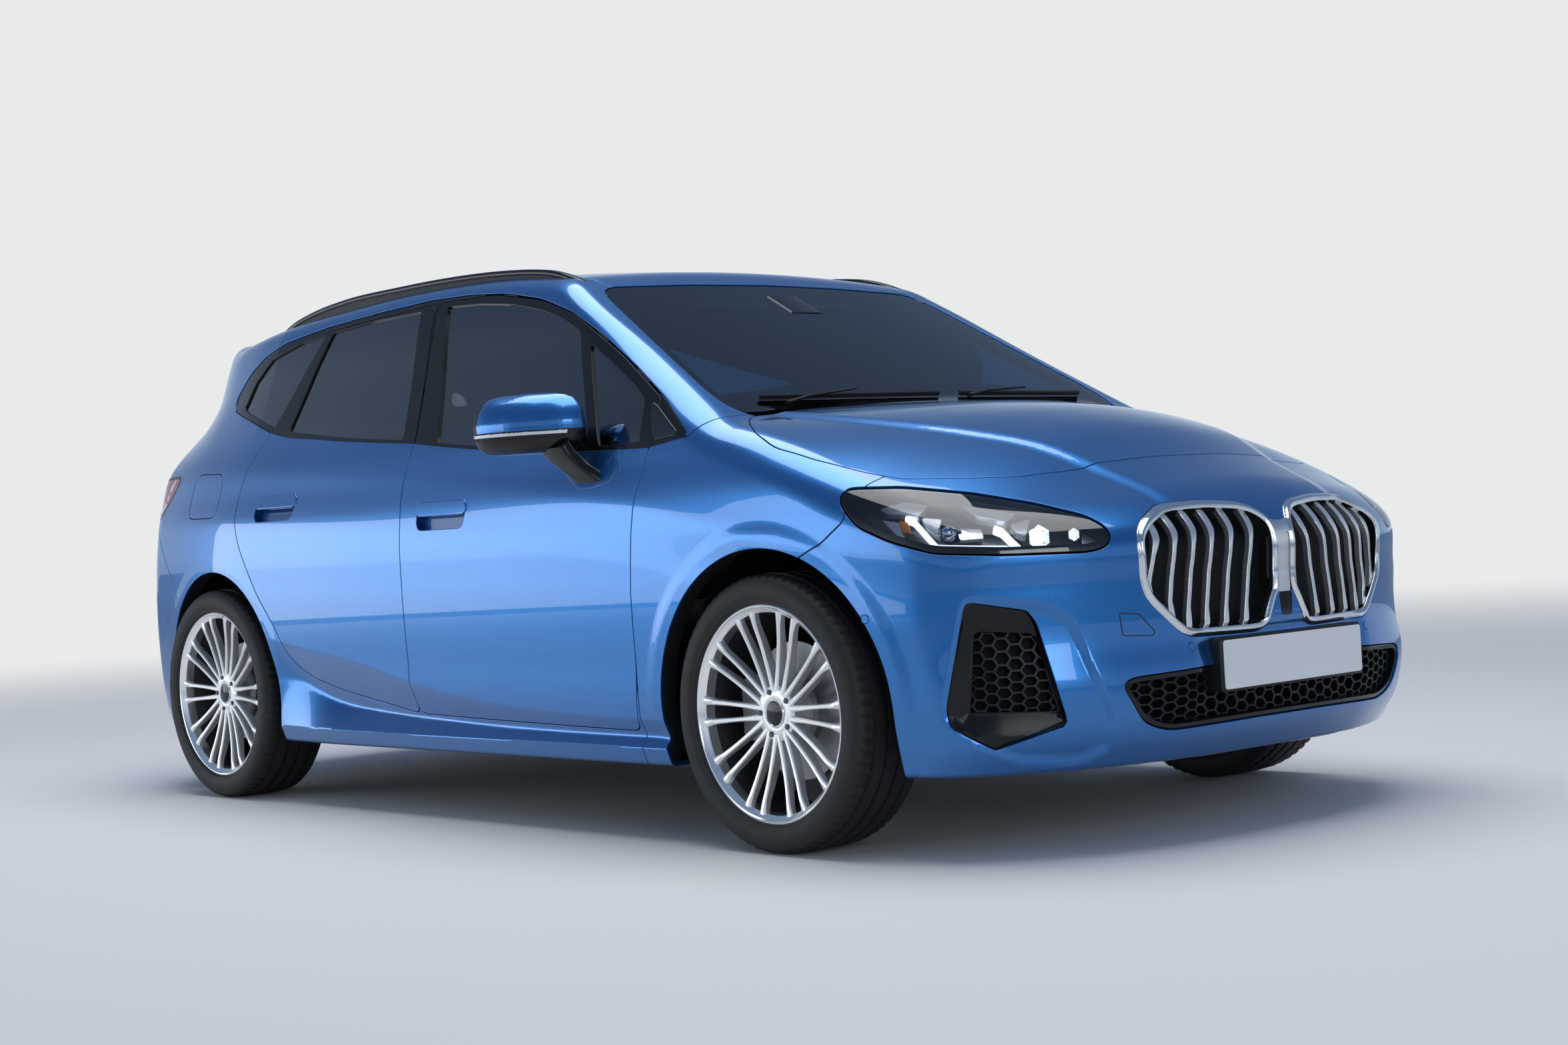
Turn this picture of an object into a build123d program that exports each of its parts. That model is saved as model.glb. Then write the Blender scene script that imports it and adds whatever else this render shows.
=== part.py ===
from build123d import *
import os
from math import radians, cos, sin, sqrt

# Compact five-door minivan, in millimetres. +X points to the nose, +Y to the left, +Z up.
# The origin is on the ground, midway between the nose and the tail.

# ---------------------------------------------------------------- driving sizes
LENGTH = 4386.0
HALF_WIDTH = 905.0
WHEELBASE = 2670.0
FRONT_OVERHANG = 865.0
TRACK = 1586.0
ROOF_HEIGHT = 1528.0
BELT_HEIGHT = 985.0
SILL_HEIGHT = 190.0

TYRE_RADIUS = 331.0
TYRE_WIDTH = 225.0
RIM_RADIUS = 259.0
ARCH_RADIUS = 390.0
FRONT_LINER_RADIUS = 420.0
REAR_LINER_RADIUS = 400.0

DOOR_GAP = 6.0
LID_GAP = 8.0
SWING_ROOM = 12.0
SKIN = 30.0
ROOF_THICKNESS = 40.0
PILLAR_THICKNESS = 60.0
DOOR_THICKNESS = 105.0
DOOR_INNER_STEP = 60.0
OPENING_STEP = 45.0
GLASS_DEPTH = 8.0
GLASS_THICKNESS = 5.0
LINER_THICKNESS = 3.0
CLEARANCE = 0.3

NOSE = LENGTH / 2
TAIL = -LENGTH / 2
FRONT_AXLE = NOSE - FRONT_OVERHANG
REAR_AXLE = FRONT_AXLE - WHEELBASE
AXLE_HEIGHT = TYRE_RADIUS
WHEEL_Y = TRACK / 2
B_PILLAR = FRONT_AXLE - 1533
ROOF_REAR_EDGE = REAR_AXLE - 350
FAR = 3000.0

os.makedirs("parts", exist_ok=True)


def save(piece, name):
    piece.label = name
    export_step(piece, f"parts/{name}.step")


def other_side(piece):
    return mirror(piece, about=Plane.XZ)


# ---------------------------------------------------------------- body forms
# The outer skin is where five simple forms meet: the two sides, the nose, the tail,
# the bonnet, and the roof with its windscreen. An inset form is the same form with
# its walls moved inwards, so a panel is what lies between two of them.

# Each station gives the place, the share of the full width, and how far the glasshouse leans in.
SIDE_STATIONS = (
    (TAIL - 120, 0.80, 240),
    (REAR_AXLE - 650, 0.885, 205),
    (REAR_AXLE - 350, 0.945, 72),
    (REAR_AXLE, 0.985, 8),
    (REAR_AXLE + 550, 1.0, 0),
    (0, 1.0, 0),
    (FRONT_AXLE - 500, 1.0, 0),
    (FRONT_AXLE, 0.99, 0),
    (FRONT_AXLE + 370, 0.955, 0),
    (FRONT_AXLE + 670, 0.885, 0),
    (NOSE + 120, 0.78, 0),
)


def side_form(inset=0.0):
    belt = BELT_HEIGHT - 25
    top = ROOF_HEIGHT + 72
    bottom = SILL_HEIGHT - 40
    with BuildPart() as form:
        for x, taper, lean in SIDE_STATIONS:
            w = HALF_WIDTH * taper
            flank = [(w - 62, bottom), (w + 10, bottom + 190), (w + 27, belt - 260), (w - 39, belt)]
            tumble = [
                (w - 39, belt),
                (w - 90 - 0.25 * lean, belt + 130),
                (w - 165 - 1.2 * lean, belt + 300),
                (w - 305 - 1.1 * lean, top),
            ]
            roof_half = w - 305 - 1.1 * lean - inset
            floor_half = w - 62 - inset
            with BuildSketch(Plane.YZ.offset(x)):
                with BuildLine():
                    Bezier(*[(-(y - inset), z) for y, z in flank])
                    Bezier(*[(-(y - inset), z) for y, z in tumble])
                    Line((-roof_half, top), (roof_half, top))
                    Bezier(*[(y - inset, z) for y, z in reversed(tumble)])
                    Bezier(*[(y - inset, z) for y, z in reversed(flank)])
                    Line((floor_half, bottom), (-floor_half, bottom))
                make_face()
        loft()
    return form.part


NOSE_LEVELS = ((-40, 98), (100, 30), (230, 30), (370, 16), (510, 8), (610, 45), (760, 130), (940, 205))
TAIL_LEVELS = (
    (-40, 93),
    (100, 28),
    (230, 5),
    (370, 0),
    (510, 14),
    (660, 42),
    (790, 65),
    (890, 98),
    (1060, 183),
    (1210, 262),
    (1410, 370),
)


def end_form(levels, end, rear_wall, inset=0.0):
    towards = 1 if end > 0 else -1
    with BuildPart() as form:
        for rise, setback in levels:
            tip = end - towards * (setback + inset)
            corner = [(tip, 0), (tip, -470), (tip - towards * 100, -700), (tip - towards * 480, -970)]
            with BuildSketch(Plane.XY.offset(SILL_HEIGHT + rise)):
                with BuildLine():
                    Bezier(*corner)
                    Line(corner[-1], (rear_wall, -970))
                    Line((rear_wall, -970), (rear_wall, 970))
                    Line((rear_wall, 970), (corner[-1][0], 970))
                    Bezier(*[(x, -y) for x, y in reversed(corner)])
                make_face()
        loft()
    return form.part


BONNET_STATIONS = (
    (FRONT_AXLE - 728, 1100, 50),
    (FRONT_AXLE - 228, 1072, 60),
    (FRONT_AXLE + 72, 1045, 150),
    (FRONT_AXLE + 272, 1010, 220),
    (FRONT_AXLE + 422, 962, 235),
    (FRONT_AXLE + 587, 878, 220),
    (FRONT_AXLE + 972, 700, 170),
)
ROOF_STATIONS = (
    (FRONT_AXLE + 100, -40, 85),
    (FRONT_AXLE - 528, -50, 80),
    (FRONT_AXLE - 953, -60, 75),
    (0, -14, 65),
    (-350, 0, 60),
    (-900, -8, 60),
    (REAR_AXLE - 158, -46, 75),
    (REAR_AXLE - 608, -96, 100),
    (REAR_AXLE - 958, -143, 110),
)


def crowned_form(stations, inset=0.0):
    with BuildPart() as form:
        for x, z, drop in stations:
            with BuildSketch(Plane.YZ.offset(x)):
                with BuildLine():
                    Bezier((-1000, z - drop - inset), (0, z + drop - inset), (1000, z - drop - inset))
                    Polyline((1000, z - drop - inset), (1000, 100), (-1000, 100), (-1000, z - drop - inset))
                make_face()
        loft()
    return form.part


def roof_form(inset=0.0):
    return crowned_form([(x, ROOF_HEIGHT + z, drop) for x, z, drop in ROOF_STATIONS], inset)


WINDSCREEN_FOOT = FRONT_AXLE - 208
WINDSCREEN_FOOT_Z = 1062.0
WINDSCREEN_RUN = 1.83
WINDSCREEN_SAG = 95.0


def windscreen_form(inset=0.0):
    base_z = SILL_HEIGHT - 20
    slant = sqrt(1 + WINDSCREEN_RUN**2)
    foot = WINDSCREEN_FOOT + WINDSCREEN_RUN * (WINDSCREEN_FOOT_Z - base_z) - inset * slant
    rise = ROOF_HEIGHT + 60 - base_z
    with BuildPart() as form:
        with BuildSketch(Plane.XY.offset(base_z)):
            with BuildLine():
                ThreePointArc((foot - WINDSCREEN_SAG, -950), (foot, 0), (foot - WINDSCREEN_SAG, 950))
                Polyline(
                    (foot - WINDSCREEN_SAG, 950),
                    (TAIL - 200, 950),
                    (TAIL - 200, -950),
                    (foot - WINDSCREEN_SAG, -950),
                )
            make_face()
        extrude(amount=rise * slant, dir=(-WINDSCREEN_RUN, 0, 1))
    return form.part


# ---------------------------------------------------------------- cutting prisms
# Seams and openings are drawn as flat outlines in a side view (x, z), a plan (x, y)
# or a front view (y, z), and pushed through the body.


def side_cut(outline, grow=0.0, near=0.0, far=-FAR):
    with BuildPart() as cut:
        with BuildSketch(Plane.XZ.offset(-near)):
            with BuildLine():
                Polyline(*outline, close=True)
            make_face()
            if grow:
                offset(amount=grow, kind=Kind.INTERSECTION)
        extrude(amount=near - far)
    return cut.part


def plan_cut(outline, grow=0.0, low=0.0, high=FAR):
    with BuildPart() as cut:
        with BuildSketch(Plane.XY.offset(low)):
            with BuildLine():
                Polyline(*outline, close=True)
            make_face()
            if grow:
                offset(amount=grow, kind=Kind.INTERSECTION)
        extrude(amount=high - low)
    return cut.part


def front_cut(outline, grow=0.0, low=0.0, high=FAR):
    with BuildPart() as cut:
        with BuildSketch(Plane.YZ.offset(low)):
            with BuildLine():
                Polyline(*outline, close=True)
            make_face()
            if grow:
                offset(amount=grow, kind=Kind.INTERSECTION)
        extrude(amount=high - low)
    return cut.part


def both_sides(outline):
    """An outline drawn on the right, closed by its own reflection."""
    return list(outline) + [(-y, z) for y, z in reversed(outline) if y != 0]


def block(x, y, z):
    """A plain block between (low, high) pairs along X, Y and Z."""
    with BuildPart() as piece:
        with BuildSketch(Plane.XY.offset(z[0])):
            with Locations(((x[0] + x[1]) / 2, (y[0] + y[1]) / 2)):
                Rectangle(x[1] - x[0], y[1] - y[0])
        extrude(amount=z[1] - z[0])
    return piece.part


def rod(radius, x, z, y):
    """A round rod along Y."""
    with BuildPart() as piece:
        with BuildSketch(Plane.XZ.offset(-y[1])):
            with Locations((x, z)):
                Circle(radius)
        extrude(amount=y[1] - y[0])
    return piece.part


def arch_cut(axle, radius, near=0.0, far=-FAR):
    """The round wheel arch with its open foot."""
    with BuildPart() as cut:
        with BuildSketch(Plane.XZ.offset(-near)):
            with Locations((axle, AXLE_HEIGHT)):
                Circle(radius)
            with Locations((axle, AXLE_HEIGHT / 2 - 50)):
                Rectangle(2 * radius - 20, AXLE_HEIGHT + 100)
        extrude(amount=near - far)
    return cut.part


def union(*pieces):
    with BuildPart() as whole:
        for piece in pieces:
            add(piece)
    return whole.part


def cut_from(piece, *tools):
    with BuildPart() as rest:
        add(piece)
        for tool in tools:
            add(tool, mode=Mode.SUBTRACT)
    return rest.part


def common(piece, *tools):
    with BuildPart() as rest:
        add(piece)
        for tool in tools:
            add(tool, mode=Mode.INTERSECT)
    return rest.part


def pair(piece):
    """The same piece on both sides of the body, in one node."""
    return Compound(children=[piece, other_side(piece)])


# ---------------------------------------------------------------- seams and openings
DOOR_FOOT = SILL_HEIGHT + 93
FRONT_DOOR_FRONT = [
    (FRONT_AXLE - 490, DOOR_FOOT),
    (FRONT_AXLE - 478, BELT_HEIGHT - 405),
    (FRONT_AXLE - 466, BELT_HEIGHT - 150),
    (FRONT_AXLE - 431, BELT_HEIGHT - 8),
]
PILLAR_TOP = [
    (FRONT_AXLE - 431, BELT_HEIGHT + 119),
    (FRONT_AXLE - 660, ROOF_HEIGHT - 288),
    (FRONT_AXLE - 898, ROOF_HEIGHT - 163),
    (FRONT_AXLE - 1254, ROOF_HEIGHT - 68),
]
B_LINE = [
    (B_PILLAR - 10, BELT_HEIGHT + 54),
    (B_PILLAR - 5, BELT_HEIGHT - 107),
    (B_PILLAR - 3, SILL_HEIGHT + 277),
    (B_PILLAR - 8, SILL_HEIGHT + 110),
]
REAR_DOOR_REAR = [
    (REAR_AXLE + 702, SILL_HEIGHT + 116),
    (REAR_AXLE + 502, SILL_HEIGHT + 196),
    (REAR_AXLE + 357, SILL_HEIGHT + 352),
    (REAR_AXLE + 227, BELT_HEIGHT - 204),
    (REAR_AXLE + 152, BELT_HEIGHT - 42),
    (REAR_AXLE + 217, BELT_HEIGHT + 62),
    (REAR_AXLE + 285, BELT_HEIGHT + 150),
]


def front_door_outline(room=0.0):
    """The seam line of the front door; room leans its rear top corner away from the next door."""
    top = (B_PILLAR - 100 + room, ROOF_HEIGHT - 55)
    return FRONT_DOOR_FRONT + PILLAR_TOP + [top] + B_LINE


def rear_door_outline(room=0.0, rear_room=0.0):
    """The seam line of the rear door; both upper corners can lean away from their neighbours."""
    front_top = (B_PILLAR - 100 - room, ROOF_HEIGHT - 55)
    rear_top = (REAR_AXLE + 485 - rear_room, ROOF_HEIGHT - 69)
    rear_edge = [(x - (rear_room if z > BELT_HEIGHT else 0), z) for x, z in REAR_DOOR_REAR]
    return rear_edge + [rear_top, front_top] + B_LINE


FRONT_WINDOW = [
    (FRONT_AXLE - 470, BELT_HEIGHT + 32),
    (FRONT_AXLE - 470, BELT_HEIGHT + 100),
    (FRONT_AXLE - 668, ROOF_HEIGHT - 330),
    (FRONT_AXLE - 898, ROOF_HEIGHT - 208),
    (FRONT_AXLE - 1254, ROOF_HEIGHT - 112),
    (B_PILLAR - 50, ROOF_HEIGHT - 98),
    (B_PILLAR + 100, BELT_HEIGHT + 66),
]
REAR_WINDOW = [
    (B_PILLAR - 80, BELT_HEIGHT + 86),
    (B_PILLAR - 140, ROOF_HEIGHT - 96),
    (REAR_AXLE + 515, ROOF_HEIGHT - 110),
    (REAR_AXLE + 350, BELT_HEIGHT + 168),
]
QUARTER_WINDOW = [
    (REAR_AXLE + 227, BELT_HEIGHT + 180),
    (REAR_AXLE + 402, ROOF_HEIGHT - 100),
    (REAR_AXLE + 147, ROOF_HEIGHT - 146),
    (REAR_AXLE + 7, BELT_HEIGHT + 250),
]
WINDSCREEN = both_sides([
    (-705, BELT_HEIGHT + 77),
    (-545, ROOF_HEIGHT - 85),
    (-300, ROOF_HEIGHT - 68),
    (0, ROOF_HEIGHT - 62),
])
TAILGATE = both_sides([
    (-515, SILL_HEIGHT + 460),
    (-625, BELT_HEIGHT - 105),
    (-640, BELT_HEIGHT + 55),
    (-560, ROOF_HEIGHT - 128),
    (-530, ROOF_HEIGHT + 60),
])
TAILGATE_WINDOW = both_sides([
    (-560, BELT_HEIGHT + 105),
    (-485, ROOF_HEIGHT - 165),
])
LAMP_BAND = (BELT_HEIGHT - 87, BELT_HEIGHT + 53)
LAMP_FRONT = REAR_AXLE - 520
LAMP_INNER = 400
REAR_SEAM = [
    (REAR_AXLE - 240, 0),
    (REAR_AXLE - 240, AXLE_HEIGHT + 200),
    (REAR_AXLE - 278, AXLE_HEIGHT + 269),
    (REAR_AXLE - 508, BELT_HEIGHT - 105),
    (TAIL - 300, BELT_HEIGHT - 105),
    (TAIL - 300, 0),
]
WING_REAR = FRONT_DOOR_FRONT + [
    (FRONT_AXLE - 431, BELT_HEIGHT + 5),
    (FRONT_AXLE - 288, BELT_HEIGHT + 24),
    (FRONT_AXLE - 180, BELT_HEIGHT + 75),
]
WING_FRONT = [
    (FRONT_AXLE + 290, BELT_HEIGHT + 75),
    (FRONT_AXLE + 282, BELT_HEIGHT - 151),
    (FRONT_AXLE + 132, BELT_HEIGHT - 293),
]
BONNET_RIGHT = [
    (FRONT_AXLE + 587, 0),
    (FRONT_AXLE + 577, -300),
    (FRONT_AXLE + 532, -500),
    (FRONT_AXLE + 397, -635),
    (FRONT_AXLE + 289, -745),
    (FRONT_AXLE - 98, -715),
    (FRONT_AXLE - 212, -690),
    (FRONT_AXLE - 160, -400),
    (FRONT_AXLE - 140, 0),
]
BONNET = BONNET_RIGHT + [(x, -y) for x, y in reversed(BONNET_RIGHT) if y != 0]
HEADLAMP = [
    (-900, BELT_HEIGHT - 148),
    (-850, BELT_HEIGHT - 140),
    (-650, BELT_HEIGHT - 182),
    (-495, BELT_HEIGHT - 258),
    (-495, BELT_HEIGHT - 288),
    (-700, BELT_HEIGHT - 305),
    (-900, BELT_HEIGHT - 270),
]
KIDNEY = [
    (-12, BELT_HEIGHT - 272),
    (-376, BELT_HEIGHT - 208),
    (-390, BELT_HEIGHT - 270),
    (-325, BELT_HEIGHT - 512),
    (-60, BELT_HEIGHT - 518),
    (-12, BELT_HEIGHT - 460),
]
AIR_CURTAIN = [
    (-790, SILL_HEIGHT + 390),
    (-690, SILL_HEIGHT + 354),
    (-650, SILL_HEIGHT + 122),
    (-700, SILL_HEIGHT + 54),
    (-775, SILL_HEIGHT + 132),
]
LOWER_INTAKE = both_sides([(-420, SILL_HEIGHT + 72), (-585, SILL_HEIGHT + 212)])
FUEL_FLAP = [
    (REAR_AXLE + 12, BELT_HEIGHT - 97),
    (REAR_AXLE + 12, BELT_HEIGHT + 47),
    (REAR_AXLE - 218, BELT_HEIGHT + 47),
    (REAR_AXLE - 218, BELT_HEIGHT - 97),
]

# ---------------------------------------------------------------- cabin shell
def cabin_form(inset=0.0):
    form = common(side_form(inset), end_form(TAIL_LEVELS, TAIL, 1600, inset))
    return common(form, roof_form(inset), windscreen_form(inset))


def front_form(inset=0.0):
    nose = end_form(NOSE_LEVELS, NOSE, -200, inset)
    return common(side_form(inset), nose, crowned_form(BONNET_STATIONS, inset))


right_half = block((-FAR, FAR), (-FAR, 0), (SILL_HEIGHT, FAR))
above_sill = block((-FAR, FAR), (-FAR, FAR), (SILL_HEIGHT, FAR))
SKIN_STEPS = (0, GLASS_DEPTH, GLASS_DEPTH + GLASS_THICKNESS, SKIN, DOOR_THICKNESS)
sides = {inset: side_form(inset) for inset in SKIN_STEPS}
cabin = {inset: cabin_form(inset) for inset in (0, SKIN + CLEARANCE, PILLAR_THICKNESS)}

roof_edge = 560.0
HINGE_Y = 380.0
roof_plan = [
    (ROOF_REAR_EDGE, -roof_edge),
    (FRONT_AXLE - 700, -roof_edge),
    (FRONT_AXLE - 700, roof_edge),
    (ROOF_REAR_EDGE, roof_edge),
]
windscreen_prism = front_cut(WINDSCREEN, low=0)
tailgate_hole = front_cut(TAILGATE, LID_GAP, low=-FAR, high=ROOF_REAR_EDGE)

with BuildPart() as roof_panel:
    add(cabin[0])
    add(cabin_form(ROOF_THICKNESS), mode=Mode.SUBTRACT)
    add(plan_cut(roof_plan, low=BELT_HEIGHT + 200), mode=Mode.INTERSECT)
    add(windscreen_prism, mode=Mode.SUBTRACT)
    # Two hinge leaves reach back to the tailgate's front edge.
    with BuildSketch(Plane.YZ.offset(ROOF_REAR_EDGE)):
        for y in (-HINGE_Y, HINGE_Y):
            with Locations((y, ROOF_HEIGHT - 96)):
                Rectangle(60, 16)
    extrude(amount=-(LID_GAP - CLEARANCE))
save(roof_panel.part, "roof_panel")

# Each side frame is one pressing of sill, pillars, cant rail and quarter panel: an outer
# skin, cut along the door seams, over an inner frame that laps behind the doors.
lamp_zone = block((-FAR, LAMP_FRONT), (-FAR, -LAMP_INNER), LAMP_BAND)
rear_zone = side_cut(REAR_SEAM)
wing_zone = side_cut(WING_REAR + [(NOSE, BELT_HEIGHT + 75), (NOSE, 0), (FRONT_AXLE - 490, 0)])
cowl_zone = side_cut(WING_REAR[-3:] + [(NOSE, BELT_HEIGHT + 75), (NOSE, 0), (FRONT_AXLE - 431, 0)])
flap_edge = FUEL_FLAP[0][0]
flap_leaf = block((flap_edge + CLEARANCE, flap_edge + 20), (-FAR, 0), (BELT_HEIGHT - 50, BELT_HEIGHT))
front_door_hole = side_cut(front_door_outline(), DOOR_GAP / 2)
with BuildPart() as side_frame:
    add(cabin[0])
    add(cabin[SKIN + CLEARANCE], mode=Mode.SUBTRACT)
    add(right_half, mode=Mode.INTERSECT)
    add(wing_zone, mode=Mode.SUBTRACT)
    add(front_door_hole, mode=Mode.SUBTRACT)
    add(side_cut(rear_door_outline(rear_room=SWING_ROOM), DOOR_GAP / 2), mode=Mode.SUBTRACT)
    add(cut_from(side_cut(FUEL_FLAP, DOOR_GAP), flap_leaf), mode=Mode.SUBTRACT)
with BuildPart() as inner_frame:
    add(cabin[SKIN + CLEARANCE])
    add(cabin[PILLAR_THICKNESS], mode=Mode.SUBTRACT)
    add(right_half, mode=Mode.INTERSECT)
    add(side_cut(front_door_outline(), -OPENING_STEP), mode=Mode.SUBTRACT)
    add(side_cut(rear_door_outline(), -OPENING_STEP), mode=Mode.SUBTRACT)
    add(arch_cut(FRONT_AXLE, FRONT_LINER_RADIUS + LINER_THICKNESS + CLEARANCE), mode=Mode.SUBTRACT)
    add(cowl_zone, mode=Mode.SUBTRACT)
side_frame_right = cut_from(
    union(side_frame.part, inner_frame.part),
    cowl_zone,
    rear_zone,
    lamp_zone,
    plan_cut(roof_plan, low=BELT_HEIGHT + 200),
    windscreen_prism,
    tailgate_hole,
    side_cut(QUARTER_WINDOW),
    arch_cut(REAR_AXLE, ARCH_RADIUS),
)
save(pair(side_frame_right), "side_frames")

# ---------------------------------------------------------------- doors
below_belt = block((-FAR, FAR), (-FAR, FAR), (0, BELT_HEIGHT - 5))


def make_door(outline, window):
    """Outer layer with the window frame, and a thicker inner layer below the belt."""
    with BuildPart() as door:
        add(sides[0])
        add(sides[SKIN], mode=Mode.SUBTRACT)
        add(side_cut(outline, -DOOR_GAP / 2), mode=Mode.INTERSECT)
    with BuildPart() as inner:
        add(sides[SKIN])
        add(sides[DOOR_THICKNESS], mode=Mode.SUBTRACT)
        add(side_cut(outline, -DOOR_INNER_STEP), mode=Mode.INTERSECT)
        add(below_belt, mode=Mode.INTERSECT)
    return cut_from(union(door.part, inner.part), side_cut(window))


def make_glass(window):
    with BuildPart() as glass:
        add(sides[GLASS_DEPTH])
        add(sides[GLASS_DEPTH + GLASS_THICKNESS], mode=Mode.SUBTRACT)
        add(side_cut(window, -CLEARANCE), mode=Mode.INTERSECT)
    return glass.part


front_door = make_door(front_door_outline(SWING_ROOM / 2), FRONT_WINDOW)
rear_door = make_door(rear_door_outline(SWING_ROOM / 2), REAR_WINDOW)
front_glass = make_glass(FRONT_WINDOW)
rear_glass = make_glass(REAR_WINDOW)

for place, door, glass in (("front", front_door, front_glass), ("rear", rear_door, rear_glass)):
    save(door, f"door_{place}_right")
    save(other_side(door), f"door_{place}_left")
    save(glass, f"door_glass_{place}_right")
    save(other_side(glass), f"door_glass_{place}_left")

# The mirror's housing is a stack of like plans, from its foot to its crown, on an arm that
# slopes down to the door's shoulder.
MIRROR_REAR = FRONT_AXLE - 918
MIRROR_FOOT = BELT_HEIGHT - 3
MIRROR_OUTER = 1052.0
MIRROR_INNER = 876.0
MIRROR_LEVELS = ((0, 22), (30, 4), (75, 0), (115, 6), (148, 34))
MIRROR_ARM = [
    (MIRROR_REAR + 130, MIRROR_FOOT + 28),
    (MIRROR_REAR + 215, MIRROR_FOOT + 20),
    (MIRROR_REAR + 300, MIRROR_FOOT - 42),
    (MIRROR_REAR + 240, MIRROR_FOOT - 46),
    (MIRROR_REAR + 140, MIRROR_FOOT + 2),
]


def mirror_plan(inset):
    return [
        (MIRROR_REAR + 60 + inset / 2, -MIRROR_INNER - inset),
        (MIRROR_REAR + 195 - inset, -MIRROR_INNER - inset),
        (MIRROR_REAR + 200 - inset, -MIRROR_INNER - 70),
        (MIRROR_REAR + 125 - inset, -MIRROR_OUTER + 25 + inset),
        (MIRROR_REAR + 20 + inset / 2, -MIRROR_OUTER + inset),
        (MIRROR_REAR + inset / 2, -MIRROR_OUTER + 18 + inset),
    ]


with BuildPart() as mirror_housing:
    for rise, inset in MIRROR_LEVELS:
        with BuildSketch(Plane.XY.offset(MIRROR_FOOT + rise)):
            with BuildLine():
                Polyline(*mirror_plan(inset), close=True)
            make_face()
    loft(ruled=True)
mirror_arm = side_cut(MIRROR_ARM, near=-HALF_WIDTH + 110, far=-HALF_WIDTH - 40)
mirror_seated = cut_from(union(mirror_housing.part, mirror_arm), side_form(-CLEARANCE))
save(mirror_seated, "mirror_right")
save(other_side(mirror_seated), "mirror_left")

with BuildPart() as quarter_glass:
    add(sides[GLASS_DEPTH])
    add(sides[GLASS_DEPTH + GLASS_THICKNESS], mode=Mode.SUBTRACT)
    add(side_cut(QUARTER_WINDOW, -CLEARANCE), mode=Mode.INTERSECT)
with BuildPart() as windscreen:
    add(windscreen_form(GLASS_DEPTH))
    add(windscreen_form(GLASS_DEPTH + GLASS_THICKNESS), mode=Mode.SUBTRACT)
    add(front_cut(WINDSCREEN, -CLEARANCE), mode=Mode.INTERSECT)
fixed_panes = [windscreen.part, quarter_glass.part, other_side(quarter_glass.part)]
save(Compound(children=fixed_panes), "fixed_glass")

with BuildPart() as fuel_flap:
    add(sides[0])
    add(sides[GLASS_DEPTH + GLASS_THICKNESS], mode=Mode.SUBTRACT)
    add(side_cut(FUEL_FLAP), mode=Mode.INTERSECT)
save(fuel_flap.part, "fuel_flap")

# ---------------------------------------------------------------- tail
lamp_layer = cut_from(cabin[0], cabin[PILLAR_THICKNESS])
with BuildPart() as tail_lamp:
    add(lamp_layer)
    add(lamp_zone, mode=Mode.INTERSECT)
    add(tailgate_hole, mode=Mode.SUBTRACT)
save(pair(tail_lamp.part), "tail_lamps")

with BuildPart() as rear_bumper:
    add(cabin[0])
    add(cabin_form(ROOF_THICKNESS), mode=Mode.SUBTRACT)
    add(side_cut(REAR_SEAM, near=FAR), mode=Mode.INTERSECT)
    add(above_sill, mode=Mode.INTERSECT)
    add(tailgate_hole, mode=Mode.SUBTRACT)
    add(arch_cut(REAR_AXLE, ARCH_RADIUS, near=FAR), mode=Mode.SUBTRACT)
save(rear_bumper.part, "rear_bumper")

tailgate_prism = front_cut(TAILGATE, low=-FAR, high=ROOF_REAR_EDGE - LID_GAP)
SPOILER_SIDE = [
    (ROOF_REAR_EDGE - 120, ROOF_HEIGHT - 90),
    (TAIL + 208, ROOF_HEIGHT - 92),
    (TAIL + 215, ROOF_HEIGHT - 110),
    (ROOF_REAR_EDGE - 170, ROOF_HEIGHT - 140),
]
SPOILER_PLAN = [
    (ROOF_REAR_EDGE - 120, -470),
    (TAIL + 208, -360),
    (TAIL + 208, 360),
    (ROOF_REAR_EDGE - 120, 470),
]
with BuildPart() as spoiler:
    add(side_cut(SPOILER_SIDE, near=520, far=-520))
    add(plan_cut(SPOILER_PLAN), mode=Mode.INTERSECT)
with BuildPart() as tailgate:
    add(cabin[0])
    add(cabin_form(ROOF_THICKNESS), mode=Mode.SUBTRACT)
    add(tailgate_prism, mode=Mode.INTERSECT)
    add(spoiler.part)
    add(front_cut(TAILGATE_WINDOW, low=-FAR, high=REAR_AXLE - 400), mode=Mode.SUBTRACT)
save(tailgate.part, "tailgate")
with BuildPart() as tailgate_glass:
    add(end_form(TAIL_LEVELS, TAIL, 1600, GLASS_DEPTH))
    add(end_form(TAIL_LEVELS, TAIL, 1600, GLASS_DEPTH + GLASS_THICKNESS), mode=Mode.SUBTRACT)
    add(front_cut(TAILGATE_WINDOW, -CLEARANCE, low=-FAR, high=REAR_AXLE - 400), mode=Mode.INTERSECT)
save(tailgate_glass.part, "tailgate_glass")

# ---------------------------------------------------------------- nose
nose_form = front_form()
nose_shell = cut_from(nose_form, front_form(SKIN))
bonnet_prism = plan_cut(BONNET, low=BELT_HEIGHT - 235)
bonnet_hole = plan_cut(BONNET, DOOR_GAP, low=BELT_HEIGHT - 235)
bumper_zone = side_cut([(FRONT_AXLE, 0)] + [(FRONT_AXLE, AXLE_HEIGHT)] + WING_FRONT[::-1]
                       + [(NOSE + 200, BELT_HEIGHT + 75), (NOSE + 200, 0)], near=FAR)
headlamp_prism = front_cut(HEADLAMP, low=FRONT_AXLE)

with BuildPart() as bonnet:
    add(nose_shell)
    add(bonnet_prism, mode=Mode.INTERSECT)
save(bonnet.part, "bonnet")

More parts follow.
